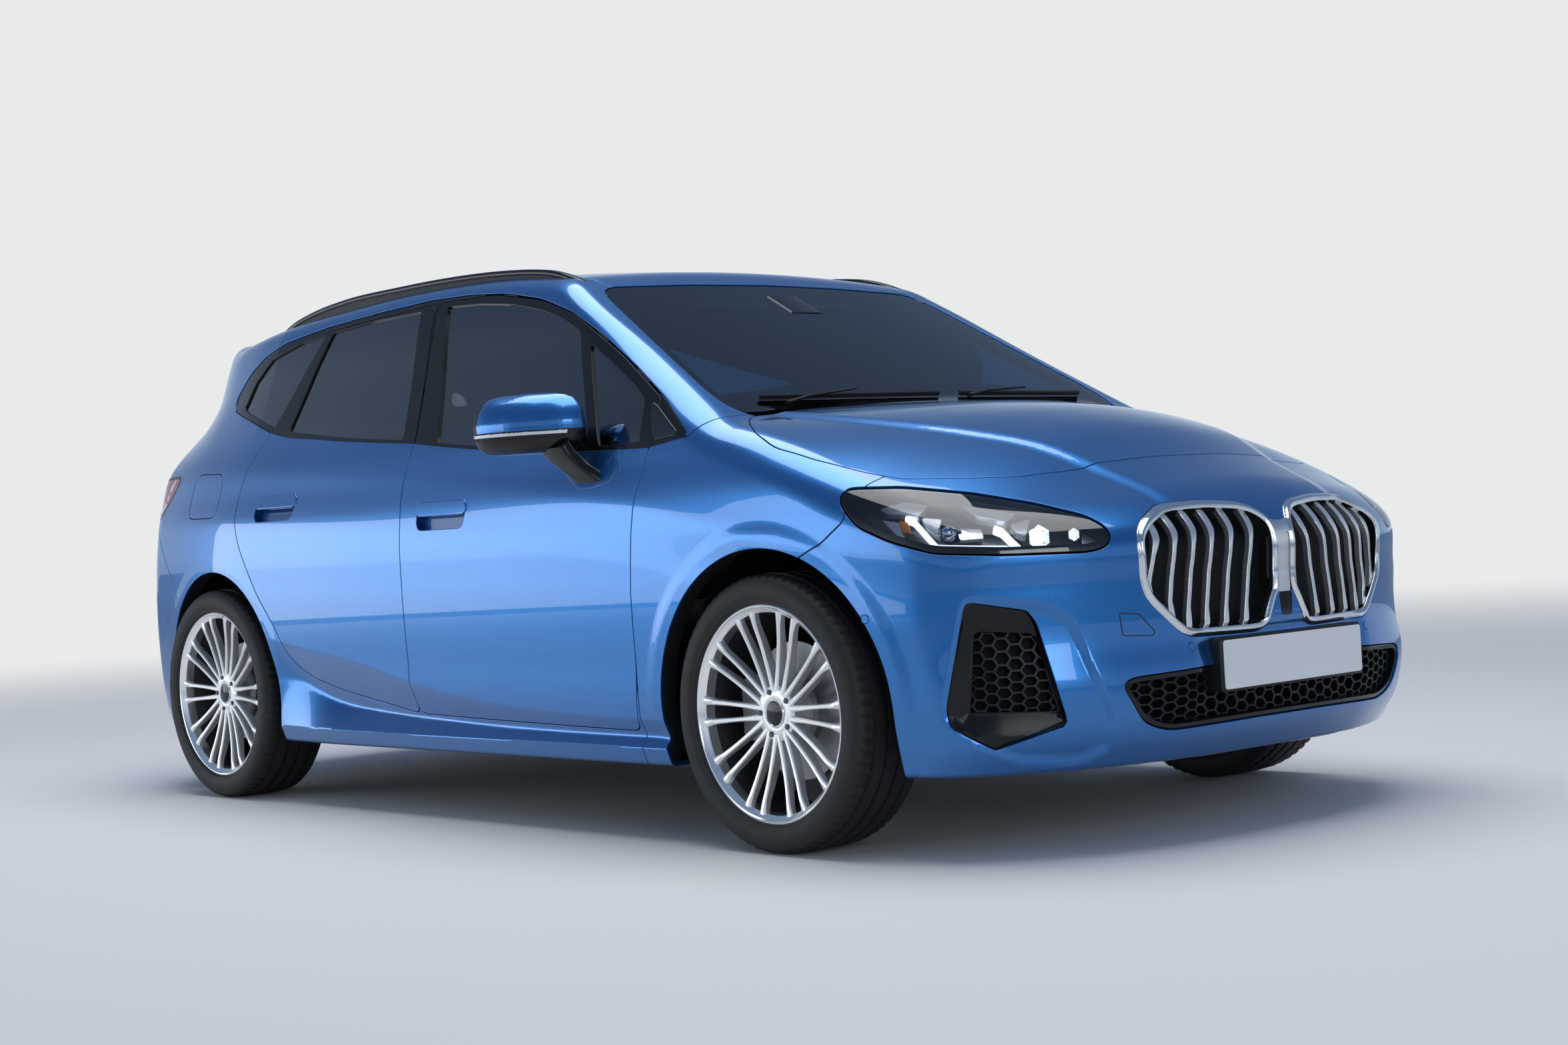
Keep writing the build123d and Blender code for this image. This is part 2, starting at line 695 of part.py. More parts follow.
with BuildPart() as front_wing:
    add(nose_shell)
    add(right_half, mode=Mode.INTERSECT)
    add(side_cut(WING_REAR + WING_FRONT + [(FRONT_AXLE, 0), (FRONT_AXLE - 490, 0)]), mode=Mode.INTERSECT)
    add(front_door_hole, mode=Mode.SUBTRACT)
    add(bonnet_hole, mode=Mode.SUBTRACT)
    add(arch_cut(FRONT_AXLE, ARCH_RADIUS), mode=Mode.SUBTRACT)
save(pair(front_wing.part), "front_wings")

with BuildPart() as front_bumper:
    add(nose_shell)
    add(bumper_zone, mode=Mode.INTERSECT)
    add(above_sill, mode=Mode.INTERSECT)
    add(bonnet_hole, mode=Mode.SUBTRACT)
    add(arch_cut(FRONT_AXLE, ARCH_RADIUS, near=FAR), mode=Mode.SUBTRACT)
    for outline in (HEADLAMP, KIDNEY, AIR_CURTAIN):
        prism = front_cut(outline, low=FRONT_AXLE)
        add(prism, mode=Mode.SUBTRACT)
        add(other_side(prism), mode=Mode.SUBTRACT)
    add(front_cut(LOWER_INTAKE, low=FRONT_AXLE), mode=Mode.SUBTRACT)
save(front_bumper.part, "front_bumper")

with BuildPart() as headlamp:
    add(nose_form)
    add(front_form(PILLAR_THICKNESS), mode=Mode.SUBTRACT)
    add(headlamp_prism, mode=Mode.INTERSECT)
    add(bumper_zone, mode=Mode.INTERSECT)
    add(bonnet_hole, mode=Mode.SUBTRACT)
save(pair(headlamp.part), "headlamps")

# ---------------------------------------------------------------- grilles
def nose_layer(outline, depth, thickness):
    """A plate that follows the nose at a depth behind its skin, within a front-view outline."""
    with BuildPart() as layer:
        add(end_form(NOSE_LEVELS, NOSE, -200, depth))
        add(end_form(NOSE_LEVELS, NOSE, -200, depth + thickness), mode=Mode.SUBTRACT)
        add(front_cut(outline, -CLEARANCE, low=FRONT_AXLE + 200), mode=Mode.INTERSECT)
    return layer.part


SLAT_PITCH = 52.0
SLATS = 6
kidney_plate = nose_layer(KIDNEY, 0, 26)
kidney_core = front_cut(KIDNEY, -16, low=FRONT_AXLE + 200)
with BuildPart() as slats:
    with BuildSketch(Plane.YZ.offset(FRONT_AXLE + 200)):
        for i in range(SLATS):
            with Locations((-55 - SLAT_PITCH * i, BELT_HEIGHT - 350)):
                Rectangle(16, 500)
    extrude(amount=900)
kidney_frame = cut_from(kidney_plate, kidney_core)
save(pair(union(kidney_frame, common(kidney_plate, slats.part))), "grille")

mesh_plates = [
    nose_layer(LOWER_INTAKE, 14, 12),
    nose_layer(AIR_CURTAIN, 14, 12),
]
mesh_plates.append(other_side(mesh_plates[1]))
save(Compound(children=mesh_plates), "lower_grilles")

# ---------------------------------------------------------------- roof fittings
RAIL_INNER_Y = 586.0
RAIL_WIDTH = 28.0
RAIL_FRONT = FRONT_AXLE - 938
RAIL_REAR = REAR_AXLE + 48
RAIL_FOOT = ROOF_HEIGHT - 130
RAIL_TOP = [
    (RAIL_FRONT, ROOF_HEIGHT - 100),
    (RAIL_FRONT - 77, ROOF_HEIGHT - 55),
    (RAIL_FRONT - 197, ROOF_HEIGHT - 14),
    (RAIL_FRONT - 399, ROOF_HEIGHT + 10),
    (RAIL_FRONT - 740, ROOF_HEIGHT + 25),
    (RAIL_REAR + 394, ROOF_HEIGHT + 20),
    (RAIL_REAR + 173, ROOF_HEIGHT - 1),
    (RAIL_REAR + 44, ROOF_HEIGHT - 27),
    (RAIL_REAR, ROOF_HEIGHT - 41),
]
with BuildPart() as roof_rail:
    with BuildSketch(Plane.XZ.offset(RAIL_INNER_Y)):
        with BuildLine():
            Spline(*RAIL_TOP)
            Polyline(RAIL_TOP[-1], (RAIL_REAR, RAIL_FOOT), (RAIL_FRONT, RAIL_FOOT), RAIL_TOP[0])
        make_face()
    extrude(amount=RAIL_WIDTH)
save(pair(cut_from(roof_rail.part, cabin_form(-CLEARANCE))), "roof_rails")

FIN_X = ROOF_REAR_EDGE + 150
with BuildPart() as aerial_fin:
    with BuildSketch(Plane.XY.offset(ROOF_HEIGHT - 80)):
        with Locations((FIN_X, 0)):
            SlotOverall(170, 44)
    extrude(amount=110, taper=9)
save(cut_from(aerial_fin.part, cabin_form(-CLEARANCE)), "aerial_fin")

# ---------------------------------------------------------------- underbody
FLOOR_Z = 200.0
FLOOR_THICKNESS = 30.0
SILL_INNER = 795.8
WELL_Y = 595.0
REAR_FLOOR_Z = 370.0
FIREWALL = FRONT_AXLE - 368
RAIL_Y = (440.0, 500.0)
RAIL_Z = (480.0, 560.0)
TOWER_Z = 770.0
HEEL_BOARD = REAR_AXLE + 442
FRONT_FLOOR_END = FRONT_AXLE - FRONT_LINER_RADIUS - 30
FLOOR_TOP = FLOOR_Z + FLOOR_THICKNESS
STRUT_Y = 565.0
SUBFRAME_TOP = SILL_HEIGHT + 44
COWL_TOP = BELT_HEIGHT + 22.6
ENGINE_HALF_WIDTH = 380.0

with BuildPart() as floor_pan:
    add(block((HEEL_BOARD, FRONT_FLOOR_END), (-SILL_INNER, SILL_INNER), (FLOOR_Z, FLOOR_TOP)))
    add(block((FRONT_FLOOR_END, FIREWALL + 30), (-WELL_Y, WELL_Y), (FLOOR_Z, FLOOR_TOP)))
    add(block((HEEL_BOARD - 30, HEEL_BOARD), (-WELL_Y, WELL_Y), (FLOOR_Z, REAR_FLOOR_Z + 30)))
    add(block((TAIL + 190, HEEL_BOARD - 30), (-WELL_Y, WELL_Y), (REAR_FLOOR_Z, REAR_FLOOR_Z + 30)))
    add(block((FIREWALL, FIREWALL + 30), (-WELL_Y, WELL_Y), (FLOOR_TOP, BELT_HEIGHT)))
    add(block((FIREWALL, FIREWALL + 30), (-780, 780), (BELT_HEIGHT - 200, BELT_HEIGHT)))
    # The bonnet's rear corners rest just above the cowl.
    add(block((FIREWALL, FIREWALL + 190), (-690, 690), (BELT_HEIGHT, COWL_TOP)))
    for side in (-1, 1):
        inner, outer = sorted((side * RAIL_Y[0], side * RAIL_Y[1]))
        add(block((FIREWALL + 30, NOSE - 203), (inner, outer), RAIL_Z))
        web = sorted((side * RAIL_Y[0], side * (RAIL_Y[0] + 30)))
        add(block((FRONT_AXLE - 70, FRONT_AXLE + 70), web, (RAIL_Z[1], TOWER_Z)))
        tower = sorted((side * RAIL_Y[0], side * 590))
        add(block((FRONT_AXLE - 70, FRONT_AXLE + 70), tower, (TOWER_Z, TOWER_Z + 30)))
    add(block((NOSE - 243, NOSE - 203), (-560, 560), (SILL_HEIGHT + 110, BELT_HEIGHT - 315)))

with BuildPart() as engine_block:
    engine_levels = (SUBFRAME_TOP + CLEARANCE, BELT_HEIGHT - 205)
    add(block((FRONT_AXLE - 148, FRONT_AXLE + 372), (-ENGINE_HALF_WIDTH, ENGINE_HALF_WIDTH), engine_levels))

# ---------------------------------------------------------------- suspension
HUB_FACE = 736.0
KINGPIN_Y = 708.0
DISC_Y = (752.0, 776.0)
DISC_RADIUS = 165.0
CARRIER_REACH = 176.0
CARRIER_Y = (-KINGPIN_Y - 15, -KINGPIN_Y + 5)
CARRIER_LEVELS = (AXLE_HEIGHT - 30, AXLE_HEIGHT + 30)


def caliper(axle, y_in, y_out, lean):
    """A brake caliper: a block that straddles the disc at its rim."""
    with BuildPart() as piece:
        with BuildSketch(Plane.XZ.offset(y_in)):
            with Locations((axle + lean * 150, AXLE_HEIGHT)):
                RectangleRounded(76, 150, 20)
        extrude(amount=y_out - y_in)
        with BuildSketch(Plane.XZ.offset(DISC_Y[0] - 5)):
            with Locations((axle, AXLE_HEIGHT)):
                Circle(DISC_RADIUS + 5)
        extrude(amount=DISC_Y[1] - DISC_Y[0] + 10, mode=Mode.SUBTRACT)
    return piece.part


with BuildPart() as knuckle:
    with BuildSketch(Plane.XY.offset(AXLE_HEIGHT - 100)):
        with Locations((FRONT_AXLE, -KINGPIN_Y)):
            Circle(20)
    extrude(amount=200)
    add(rod(36, FRONT_AXLE, AXLE_HEIGHT, (-HUB_FACE + CLEARANCE, -KINGPIN_Y + 20)))
    add(block((FRONT_AXLE - CARRIER_REACH, FRONT_AXLE), CARRIER_Y, CARRIER_LEVELS))
    add(caliper(FRONT_AXLE, KINGPIN_Y - 5, 806, -1))

with BuildPart() as front_arm:
    lower_arm_levels = (SILL_HEIGHT + 5, SILL_HEIGHT + 35)
    add(block((FRONT_AXLE - 35, FRONT_AXLE + 35), (-KINGPIN_Y - 25, -430), lower_arm_levels))
    with BuildSketch(Plane.XY.offset(SILL_HEIGHT + 35)):
        with Locations((FRONT_AXLE, -KINGPIN_Y)):
            Circle(20)
    extrude(amount=AXLE_HEIGHT - 100 - CLEARANCE - SILL_HEIGHT - 35)
    with BuildSketch(Plane.XY.offset(SILL_HEIGHT + 35)):
        with Locations((FRONT_AXLE, -STRUT_Y)):
            Circle(28)
    extrude(amount=TOWER_Z - CLEARANCE - SILL_HEIGHT - 35)
with BuildPart() as front_suspension:
    add(block((FRONT_AXLE - 200, FRONT_AXLE + 200), (-440, 440), (SILL_HEIGHT, SUBFRAME_TOP)))
    for side in (-1, 1):
        for x in (FRONT_AXLE - 200, FRONT_AXLE + 160):
            post = sorted((side * 400, side * 460))
            add(block((x, x + 40), post, (SILL_HEIGHT, RAIL_Z[0] - CLEARANCE)))
    add(front_arm.part)
    add(other_side(front_arm.part))

with BuildPart() as rear_arm:
    add(block((REAR_AXLE - 60, REAR_AXLE + 60), (-610, -430), (SILL_HEIGHT + 80, REAR_FLOOR_Z - CLEARANCE)))
    add(rod(36, REAR_AXLE, AXLE_HEIGHT, (-HUB_FACE + CLEARANCE, -600)))
    add(block((REAR_AXLE, REAR_AXLE + CARRIER_REACH), CARRIER_Y, CARRIER_LEVELS))
    add(caliper(REAR_AXLE, KINGPIN_Y - 5, 806, 1))
with BuildPart() as rear_suspension:
    add(block((REAR_AXLE - 60, REAR_AXLE + 60), (-430, 430), (SILL_HEIGHT + 80, SILL_HEIGHT + 140)))
    add(rear_arm.part)
    add(other_side(rear_arm.part))

# ---------------------------------------------------------------- arch liners
def liner(axle, radius, y_in, y_out, wall):
    with BuildPart() as piece:
        with BuildSketch(Plane.XZ.offset(y_in)):
            with Locations((axle, AXLE_HEIGHT)):
                Circle(radius + LINER_THICKNESS)
                Circle(radius, mode=Mode.SUBTRACT)
        extrude(amount=y_out - y_in)
        if wall:
            with BuildSketch(Plane.XZ.offset(y_in)):
                with Locations((axle, AXLE_HEIGHT)):
                    Circle(radius + LINER_THICKNESS)
            extrude(amount=-LINER_THICKNESS)
        low = REAR_FLOOR_Z + 30 + CLEARANCE if wall else FLOOR_TOP + CLEARANCE
        add(block((axle - 600, axle + 600), (-FAR, FAR), (-200, low)), mode=Mode.SUBTRACT)
    return piece.part


front_liner = liner(FRONT_AXLE, FRONT_LINER_RADIUS, WELL_Y + CLEARANCE, 788, False)
rear_liner = liner(REAR_AXLE, REAR_LINER_RADIUS, WELL_Y + LINER_THICKNESS + CLEARANCE, 780, True)

# ---------------------------------------------------------------- wheels
HUB_RADIUS = 74.7
HUB_OUTER = WHEEL_Y + 73
RIM_BORE = 236.0
RIM_WELL = 246.0
RIM_INNER_FACE = WHEEL_Y - 106
RIM_OUTER_FACE = WHEEL_Y + 100
BEAD_WIDTH = 13.0
SPOKES = 10
SPOKE_SIZE = (180.0, 13.0)
SPOKE_MIDDLE = 152.0
SPOKE_LEAN = 3.0
SPOKE_DEPTH = 32.0
SPOKE_INNER_FACE = WHEEL_Y + 57
TREAD_THICKNESS = 16.0
SIDEWALL_INSET = 12.0
TREAD_SHOULDER = 40.0
BEAD_HALF = 100.0
BEAD_THICKNESS = 18.0


def make_wheel():
    """Rim, spokes, hub and brake disc as one casting, on the Y axis, outer face towards -Y."""
    rim = [
        (RIM_BORE, -RIM_INNER_FACE),
        (RIM_RADIUS, -RIM_INNER_FACE),
        (RIM_RADIUS, -RIM_INNER_FACE - BEAD_WIDTH),
        (RIM_WELL, -RIM_INNER_FACE - BEAD_WIDTH - 12),
        (RIM_WELL, -RIM_OUTER_FACE + BEAD_WIDTH + 10),
        (RIM_RADIUS, -RIM_OUTER_FACE + BEAD_WIDTH),
        (RIM_RADIUS, -RIM_OUTER_FACE),
        (RIM_BORE, -RIM_OUTER_FACE),
    ]
    with BuildPart() as wheel:
        with BuildSketch(Plane.XY):
            with BuildLine():
                Polyline(*rim, close=True)
            make_face()
            with Locations((HUB_RADIUS / 2, -(HUB_FACE + HUB_OUTER) / 2)):
                Rectangle(HUB_RADIUS, HUB_OUTER - HUB_FACE)
            with Locations((DISC_RADIUS / 2, -sum(DISC_Y) / 2)):
                Rectangle(DISC_RADIUS, DISC_Y[1] - DISC_Y[0])
        revolve(axis=Axis.Y)
        with BuildSketch(Plane.XZ.offset(SPOKE_INNER_FACE)):
            with PolarLocations(0, SPOKES):
                for lean in (-1, 1):
                    turned = (0, 0, lean * SPOKE_LEAN)
                    with Locations(Location((SPOKE_MIDDLE, lean * SPOKE_SIZE[1], 0), turned)):
                        Rectangle(*SPOKE_SIZE)
        extrude(amount=SPOKE_DEPTH)
    return wheel.part


def make_tyre():
    """A hollow tyre: sidewalls, a slightly crowned tread and two beads on the rim."""
    half = TYRE_WIDTH / 2
    bead = RIM_RADIUS + CLEARANCE
    inner_radius = TYRE_RADIUS - TREAD_THICKNESS
    with BuildPart() as tyre:
        with BuildSketch(Plane.XY):
            with BuildLine():
                for out in (-1, 1):
                    Spline(
                        (bead, -WHEEL_Y + out * BEAD_HALF),
                        (bead + 34, -WHEEL_Y + out * half),
                        (TYRE_RADIUS - SIDEWALL_INSET, -WHEEL_Y + out * (half - 13)),
                        (TYRE_RADIUS - 1, -WHEEL_Y + out * (half - TREAD_SHOULDER)),
                    )
                Polyline(
                    (TYRE_RADIUS - 1, -WHEEL_Y - half + TREAD_SHOULDER),
                    (TYRE_RADIUS, -WHEEL_Y - 30),
                    (TYRE_RADIUS, -WHEEL_Y + 30),
                    (TYRE_RADIUS - 1, -WHEEL_Y + half - TREAD_SHOULDER),
                )
                Polyline(
                    (bead, -WHEEL_Y + BEAD_HALF),
                    (bead, -WHEEL_Y + BEAD_HALF - BEAD_THICKNESS),
                    (inner_radius, -WHEEL_Y + BEAD_HALF - 10),
                    (inner_radius, -WHEEL_Y - BEAD_HALF + 10),
                    (bead, -WHEEL_Y - BEAD_HALF + BEAD_THICKNESS),
                    (bead, -WHEEL_Y - BEAD_HALF),
                )
            make_face()
        revolve(axis=Axis.Y)
    return tyre.part


wheel, tyre = make_wheel(), make_tyre()
for place, axle in (("front", FRONT_AXLE), ("rear", REAR_AXLE)):
    for side in ("right", "left"):
        for piece, name in ((wheel, "wheel"), (tyre, "tyre")):
            seated = piece.moved(Location((axle, 0, AXLE_HEIGHT)))
            if side == "left":
                seated = other_side(seated)
            save(seated, f"{name}_{place}_{side}")

# ---------------------------------------------------------------- cabin
SEAT_Y = 370.0
SEAT_HALF_WIDTH = 245.0
SEAT_RAIL_Y = 200.0
# Side profile of a front seat: cushion, backrest and headrest.
SEAT_PROFILE = (
    (40, 400),
    (420, 420),
    (470, 470),
    (455, 545),
    (60, 500),
    (-55, 560),
    (-235, 1070),
    (-245, 1150),
    (-215, 1165),
    (-240, 1330),
    (-330, 1325),
    (-300, 1140),
    (-320, 1080),
    (-160, 430),
)
BENCH_HALF_WIDTH = WELL_Y - 5
BENCH_SEAT = REAR_FLOOR_Z + 30 + CLEARANCE
BENCH_PROFILE = (
    (REAR_AXLE + 412, BENCH_SEAT),
    (REAR_AXLE + 430, REAR_FLOOR_Z + 100),
    (REAR_AXLE + 860, REAR_FLOOR_Z + 100),
    (REAR_AXLE + 880, REAR_FLOOR_Z + 190),
    (REAR_AXLE + 400, REAR_FLOOR_Z + 170),
    (REAR_AXLE + 160, REAR_FLOOR_Z + 740),
    (REAR_AXLE + 60, REAR_FLOOR_Z + 730),
    (REAR_AXLE + 240, BENCH_SEAT),
)
DASH_REAR = FRONT_AXLE - 738
DASH_HALF_WIDTH = 730.0
DASH_PROFILE = (
    (FIREWALL - CLEARANCE, BELT_HEIGHT - 285),
    (FIREWALL - CLEARANCE, BELT_HEIGHT + 25),
    (DASH_REAR + 120, BELT_HEIGHT + 25),
    (DASH_REAR + 20, BELT_HEIGHT - 35),
    (DASH_REAR, BELT_HEIGHT - 125),
    (DASH_REAR + 60, BELT_HEIGHT - 225),
    (DASH_REAR + 120, BELT_HEIGHT - 285),
)
COLUMN_TILT = 25.0
COLUMN_RADIUS = 42.0
STEERING_RADIUS = 185.0
STEERING_GRIP = 28.0
STEERING_BOSS = 55.0
WHEEL_CENTRE = (DASH_REAR - 125, -SEAT_Y, BELT_HEIGHT - 75)

column_plane = Plane(origin=WHEEL_CENTRE, z_dir=(cos(radians(COLUMN_TILT)), 0, -sin(radians(COLUMN_TILT))))
with BuildPart() as dashboard:
    with BuildSketch(Plane.XZ.offset(-DASH_HALF_WIDTH)):
        with BuildLine():
            Polyline(*DASH_PROFILE, close=True)
        make_face()
    extrude(amount=2 * DASH_HALF_WIDTH)
    with BuildSketch(column_plane.offset(60 + CLEARANCE)):
        Circle(COLUMN_RADIUS)
    extrude(amount=160)

with BuildPart() as steering_wheel:
    with BuildSketch(column_plane.offset(-16)):
        Circle(STEERING_RADIUS)
        Circle(STEERING_RADIUS - STEERING_GRIP, mode=Mode.SUBTRACT)
        Circle(STEERING_BOSS)
        with PolarLocations(0, 3, start_angle=90):
            with Locations((105, 0)):
                Rectangle(120, 34)
    extrude(amount=30)
    with BuildSketch(column_plane.offset(14)):
        Circle(36)
    extrude(amount=46)

with BuildPart() as front_seat:
    with BuildSketch(Plane.XZ.offset(SEAT_Y - SEAT_HALF_WIDTH)):
        with BuildLine():
            Polyline(*SEAT_PROFILE, close=True)
        make_face()
    extrude(amount=2 * SEAT_HALF_WIDTH)
    with BuildSketch(Plane.XY.offset(FLOOR_TOP + CLEARANCE)):
        for y in (-SEAT_Y - SEAT_RAIL_Y, -SEAT_Y + SEAT_RAIL_Y):
            with Locations((150, y)):
                Rectangle(420, 50)
    extrude(amount=210)

with BuildPart() as rear_bench:
    with BuildSketch(Plane.XZ.offset(-BENCH_HALF_WIDTH)):
        with BuildLine():
            Polyline(*BENCH_PROFILE, close=True)
        make_face()
    extrude(amount=2 * BENCH_HALF_WIDTH)

liners = [front_liner, other_side(front_liner), rear_liner, other_side(rear_liner)]
for piece, name in (
    (floor_pan.part, "floor_pan"),
    (engine_block.part, "engine_block"),
    (knuckle.part, "knuckle_right"),
    (other_side(knuckle.part), "knuckle_left"),
    (front_suspension.part, "front_suspension"),
    (rear_suspension.part, "rear_suspension"),
    (Compound(children=liners), "arch_liners"),
    (dashboard.part, "dashboard"),
    (steering_wheel.part, "steering_wheel"),
    (pair(front_seat.part), "front_seats"),
    (rear_bench.part, "rear_bench"),
):
    save(piece, name)
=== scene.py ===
# %% [markdown]
# # A compact minivan, dressed around its engineering model
# The car is already built as solids: that model fixes where every wheel, door and hinge is. This
# notebook gives it its looks. It loads the solids as a frame, shapes one smooth body skin, cuts
# that skin into the real car's panels along their seams, and then adds glass, lamps, wheels and
# the cabin. Every piece rides on the body of the frame that moves it.

# %% Load the frame
from math import cos, pi, radians, sin, sqrt

import bmesh
import bpy
import numpy as np
from mathutils import Matrix, Vector


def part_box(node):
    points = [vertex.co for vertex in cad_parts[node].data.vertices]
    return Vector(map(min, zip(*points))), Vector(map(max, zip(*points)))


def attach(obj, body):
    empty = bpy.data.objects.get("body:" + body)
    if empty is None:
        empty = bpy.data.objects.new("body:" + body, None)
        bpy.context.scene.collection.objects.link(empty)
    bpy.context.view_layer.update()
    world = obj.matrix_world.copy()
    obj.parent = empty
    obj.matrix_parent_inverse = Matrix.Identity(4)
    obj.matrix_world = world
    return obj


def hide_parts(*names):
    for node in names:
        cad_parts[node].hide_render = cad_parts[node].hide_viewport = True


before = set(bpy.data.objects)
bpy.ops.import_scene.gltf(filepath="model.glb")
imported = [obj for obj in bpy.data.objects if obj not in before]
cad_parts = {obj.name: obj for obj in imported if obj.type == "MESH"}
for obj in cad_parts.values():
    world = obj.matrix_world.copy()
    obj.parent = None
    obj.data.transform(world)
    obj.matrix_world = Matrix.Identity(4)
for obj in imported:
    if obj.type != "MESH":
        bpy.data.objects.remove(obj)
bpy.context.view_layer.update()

# %% Read the driving sizes from the frame
def middle(node):
    """The centre of a node's box."""
    low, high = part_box(node)
    return [(a + b) / 2 for a, b in zip(low, high)]


FRONT_AXLE, _, AXLE_HEIGHT = middle("tyre_front_right")
REAR_AXLE = middle("tyre_rear_right")[0]
WHEEL_Y = abs(middle("tyre_front_right")[1])
NOSE = max(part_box("front_bumper")[1][0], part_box("grille")[1][0])
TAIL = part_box("rear_bumper")[0][0]
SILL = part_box("side_frames")[0][2]
print(f"axles at {FRONT_AXLE:.3f} and {REAR_AXLE:.3f} m, nose {NOSE:.3f}, tail {TAIL:.3f}")

# %% [markdown]
# ## Camera, light and floor
# A pale floor and plain soft light show the paint as it is. The lens is a little longer than a
# normal one and stands at the height of the lamps, which shows the face and the flank together.

# %% Camera
camera_data = bpy.data.cameras.new("camera")
camera = bpy.data.objects.new("camera", camera_data)
bpy.context.scene.collection.objects.link(camera)
STAND = (5.6151, -4.5733, 0.7945)
HEADING, PITCH, ROLL = radians(138.684), radians(-0.157), radians(3.245)
SENSOR, LENS = 36, 55.23
camera.location = STAND
camera_data.sensor_width = SENSOR
camera_data.lens = LENS
ahead = Vector((cos(PITCH) * cos(HEADING), cos(PITCH) * sin(HEADING), sin(PITCH)))
level = ahead.to_track_quat("-Z", "Y").to_matrix()
camera.rotation_euler = (Matrix.Rotation(ROLL, 3, ahead) @ level).to_euler()
bpy.context.scene.camera = camera
bpy.context.scene.view_settings.view_transform = "Standard"
print("camera", [round(v, 3) for v in camera.location])

# %% Floor and sky
BACKDROP = (0.82, 0.825, 0.83)


def wired(tree, kind, values=(), **links):
    """Add a node, set its inputs by name, and link others to it."""
    made = tree.nodes.new(kind)
    for name, value in dict(values).items():
        made.inputs[name].default_value = value
    for name, source in links.items():
        tree.links.new(source, made.inputs[name.replace("_", " ")])
    return made


def mix_shaders(tree, share, first, second, end="Material Output"):
    """Mix two shaders by a share and send the result to the surface."""
    both = wired(tree, "ShaderNodeMixShader", Fac=share)
    tree.links.new(first.outputs[0], both.inputs[1])
    tree.links.new(second.outputs[0], both.inputs[2])
    tree.links.new(both.outputs[0], tree.nodes[end].inputs["Surface"])


world = bpy.data.worlds.new("studio")
bpy.context.scene.world = world
world.use_nodes = True
tree = world.node_tree
heading = wired(tree, "ShaderNodeTexCoord").outputs["Generated"]
height = wired(tree, "ShaderNodeSeparateXYZ", Vector=heading).outputs["Z"]
share = wired(tree, "ShaderNodeMapRange", {"From Min": 0.0, "From Max": 0.55}, Value=height).outputs["Result"]
share.node.interpolation_type = "SMOOTHSTEP"
sky = wired(tree, "ShaderNodeMix", Factor=share)
sky.data_type = "RGBA"
tree.links.new(share, sky.inputs[0])
sky.inputs[6].default_value = (0.55, 0.65, 0.78, 1)
sky.inputs[7].default_value = (0.13, 0.20, 0.33, 1)
lamp = tree.nodes["Background"]
tree.links.new(sky.outputs[2], lamp.inputs["Color"])
plain = wired(tree, "ShaderNodeBackground", {"Color": (*BACKDROP, 1)})
mix_shaders(tree, wired(tree, "ShaderNodeLightPath").outputs["Is Camera Ray"], lamp, plain, "World Output")

FLOOR_HALF, FADE_START, FADE_END = 60, 3.0, 13.0
floor_mesh = bpy.data.meshes.new("floor")
floor_mesh.from_pydata([(-FLOOR_HALF, -FLOOR_HALF, 0), (FLOOR_HALF, -FLOOR_HALF, 0),
                        (FLOOR_HALF, FLOOR_HALF, 0), (-FLOOR_HALF, FLOOR_HALF, 0)], [], [(0, 1, 2, 3)])
floor = bpy.data.objects.new("floor", floor_mesh)
bpy.context.scene.collection.objects.link(floor)
pale = bpy.data.materials.new("pale_floor")
pale.use_nodes = True
tree = pale.node_tree
base = tree.nodes["Principled BSDF"]
base.inputs["Base Color"].default_value = (0.78, 0.76, 0.73, 1)
base.inputs["Roughness"].default_value = 0.85
place = wired(tree, "ShaderNodeNewGeometry").outputs["Position"]
reach = wired(tree, "ShaderNodeVectorMath")
reach.operation = "LENGTH"
tree.links.new(place, reach.inputs[0])
fade = wired(tree, "ShaderNodeMapRange", {"From Min": FADE_START, "From Max": FADE_END},
             Value=reach.outputs["Value"])
fade.interpolation_type = "SMOOTHSTEP"
seen = wired(tree, "ShaderNodeLightPath").outputs["Is Camera Ray"]
amount = wired(tree, "ShaderNodeMath")
amount.operation = "MULTIPLY"
tree.links.new(fade.outputs["Result"], amount.inputs[0])
tree.links.new(seen, amount.inputs[1])
glow = wired(tree, "ShaderNodeEmission", {"Color": (*BACKDROP, 1)})
mix_shaders(tree, amount.outputs[0], base, glow)
floor_mesh.materials.append(pale)


# %% Lights
def softbox(name, place, target, size, power, colour=(1, 1, 1)):
    data = bpy.data.lights.new(name, "AREA")
    data.shape = "RECTANGLE"
    data.size, data.size_y = size
    data.energy = power
    data.color = colour
    lamp = bpy.data.objects.new(name, data)
    lamp.location = place
    lamp.rotation_euler = (Vector(target) - Vector(place)).to_track_quat("-Z", "Y").to_euler()
    bpy.context.scene.collection.objects.link(lamp)


softbox("overhead", (0.0, 0.0, 7.0), (0, 0, 0.5), (8, 5), 400)
softbox("side", (-6.5, -7.5, 1.36), (-0.5, -0.9, 1.3), (10, 2.6), 165, (0.95, 0.98, 1.0))
softbox("nose", (8.5, -3.5, 2.6), (1.8, 0, 0.6), (3, 2.5), 80, (0.95, 0.98, 1.0))
print("studio ready")

# %% [markdown]
# ## The body as one shape
# A car's panels look right only when they share one flowing surface, so the whole body is first
# written as a formula: how far a point is outside the sides, the bonnet, the windscreen, the
# roof, the nose and the tail. Where two of these meet, a rounded maximum makes the soft corner
# that pressed steel has. Each curve below is one section of the body, set by a few points.

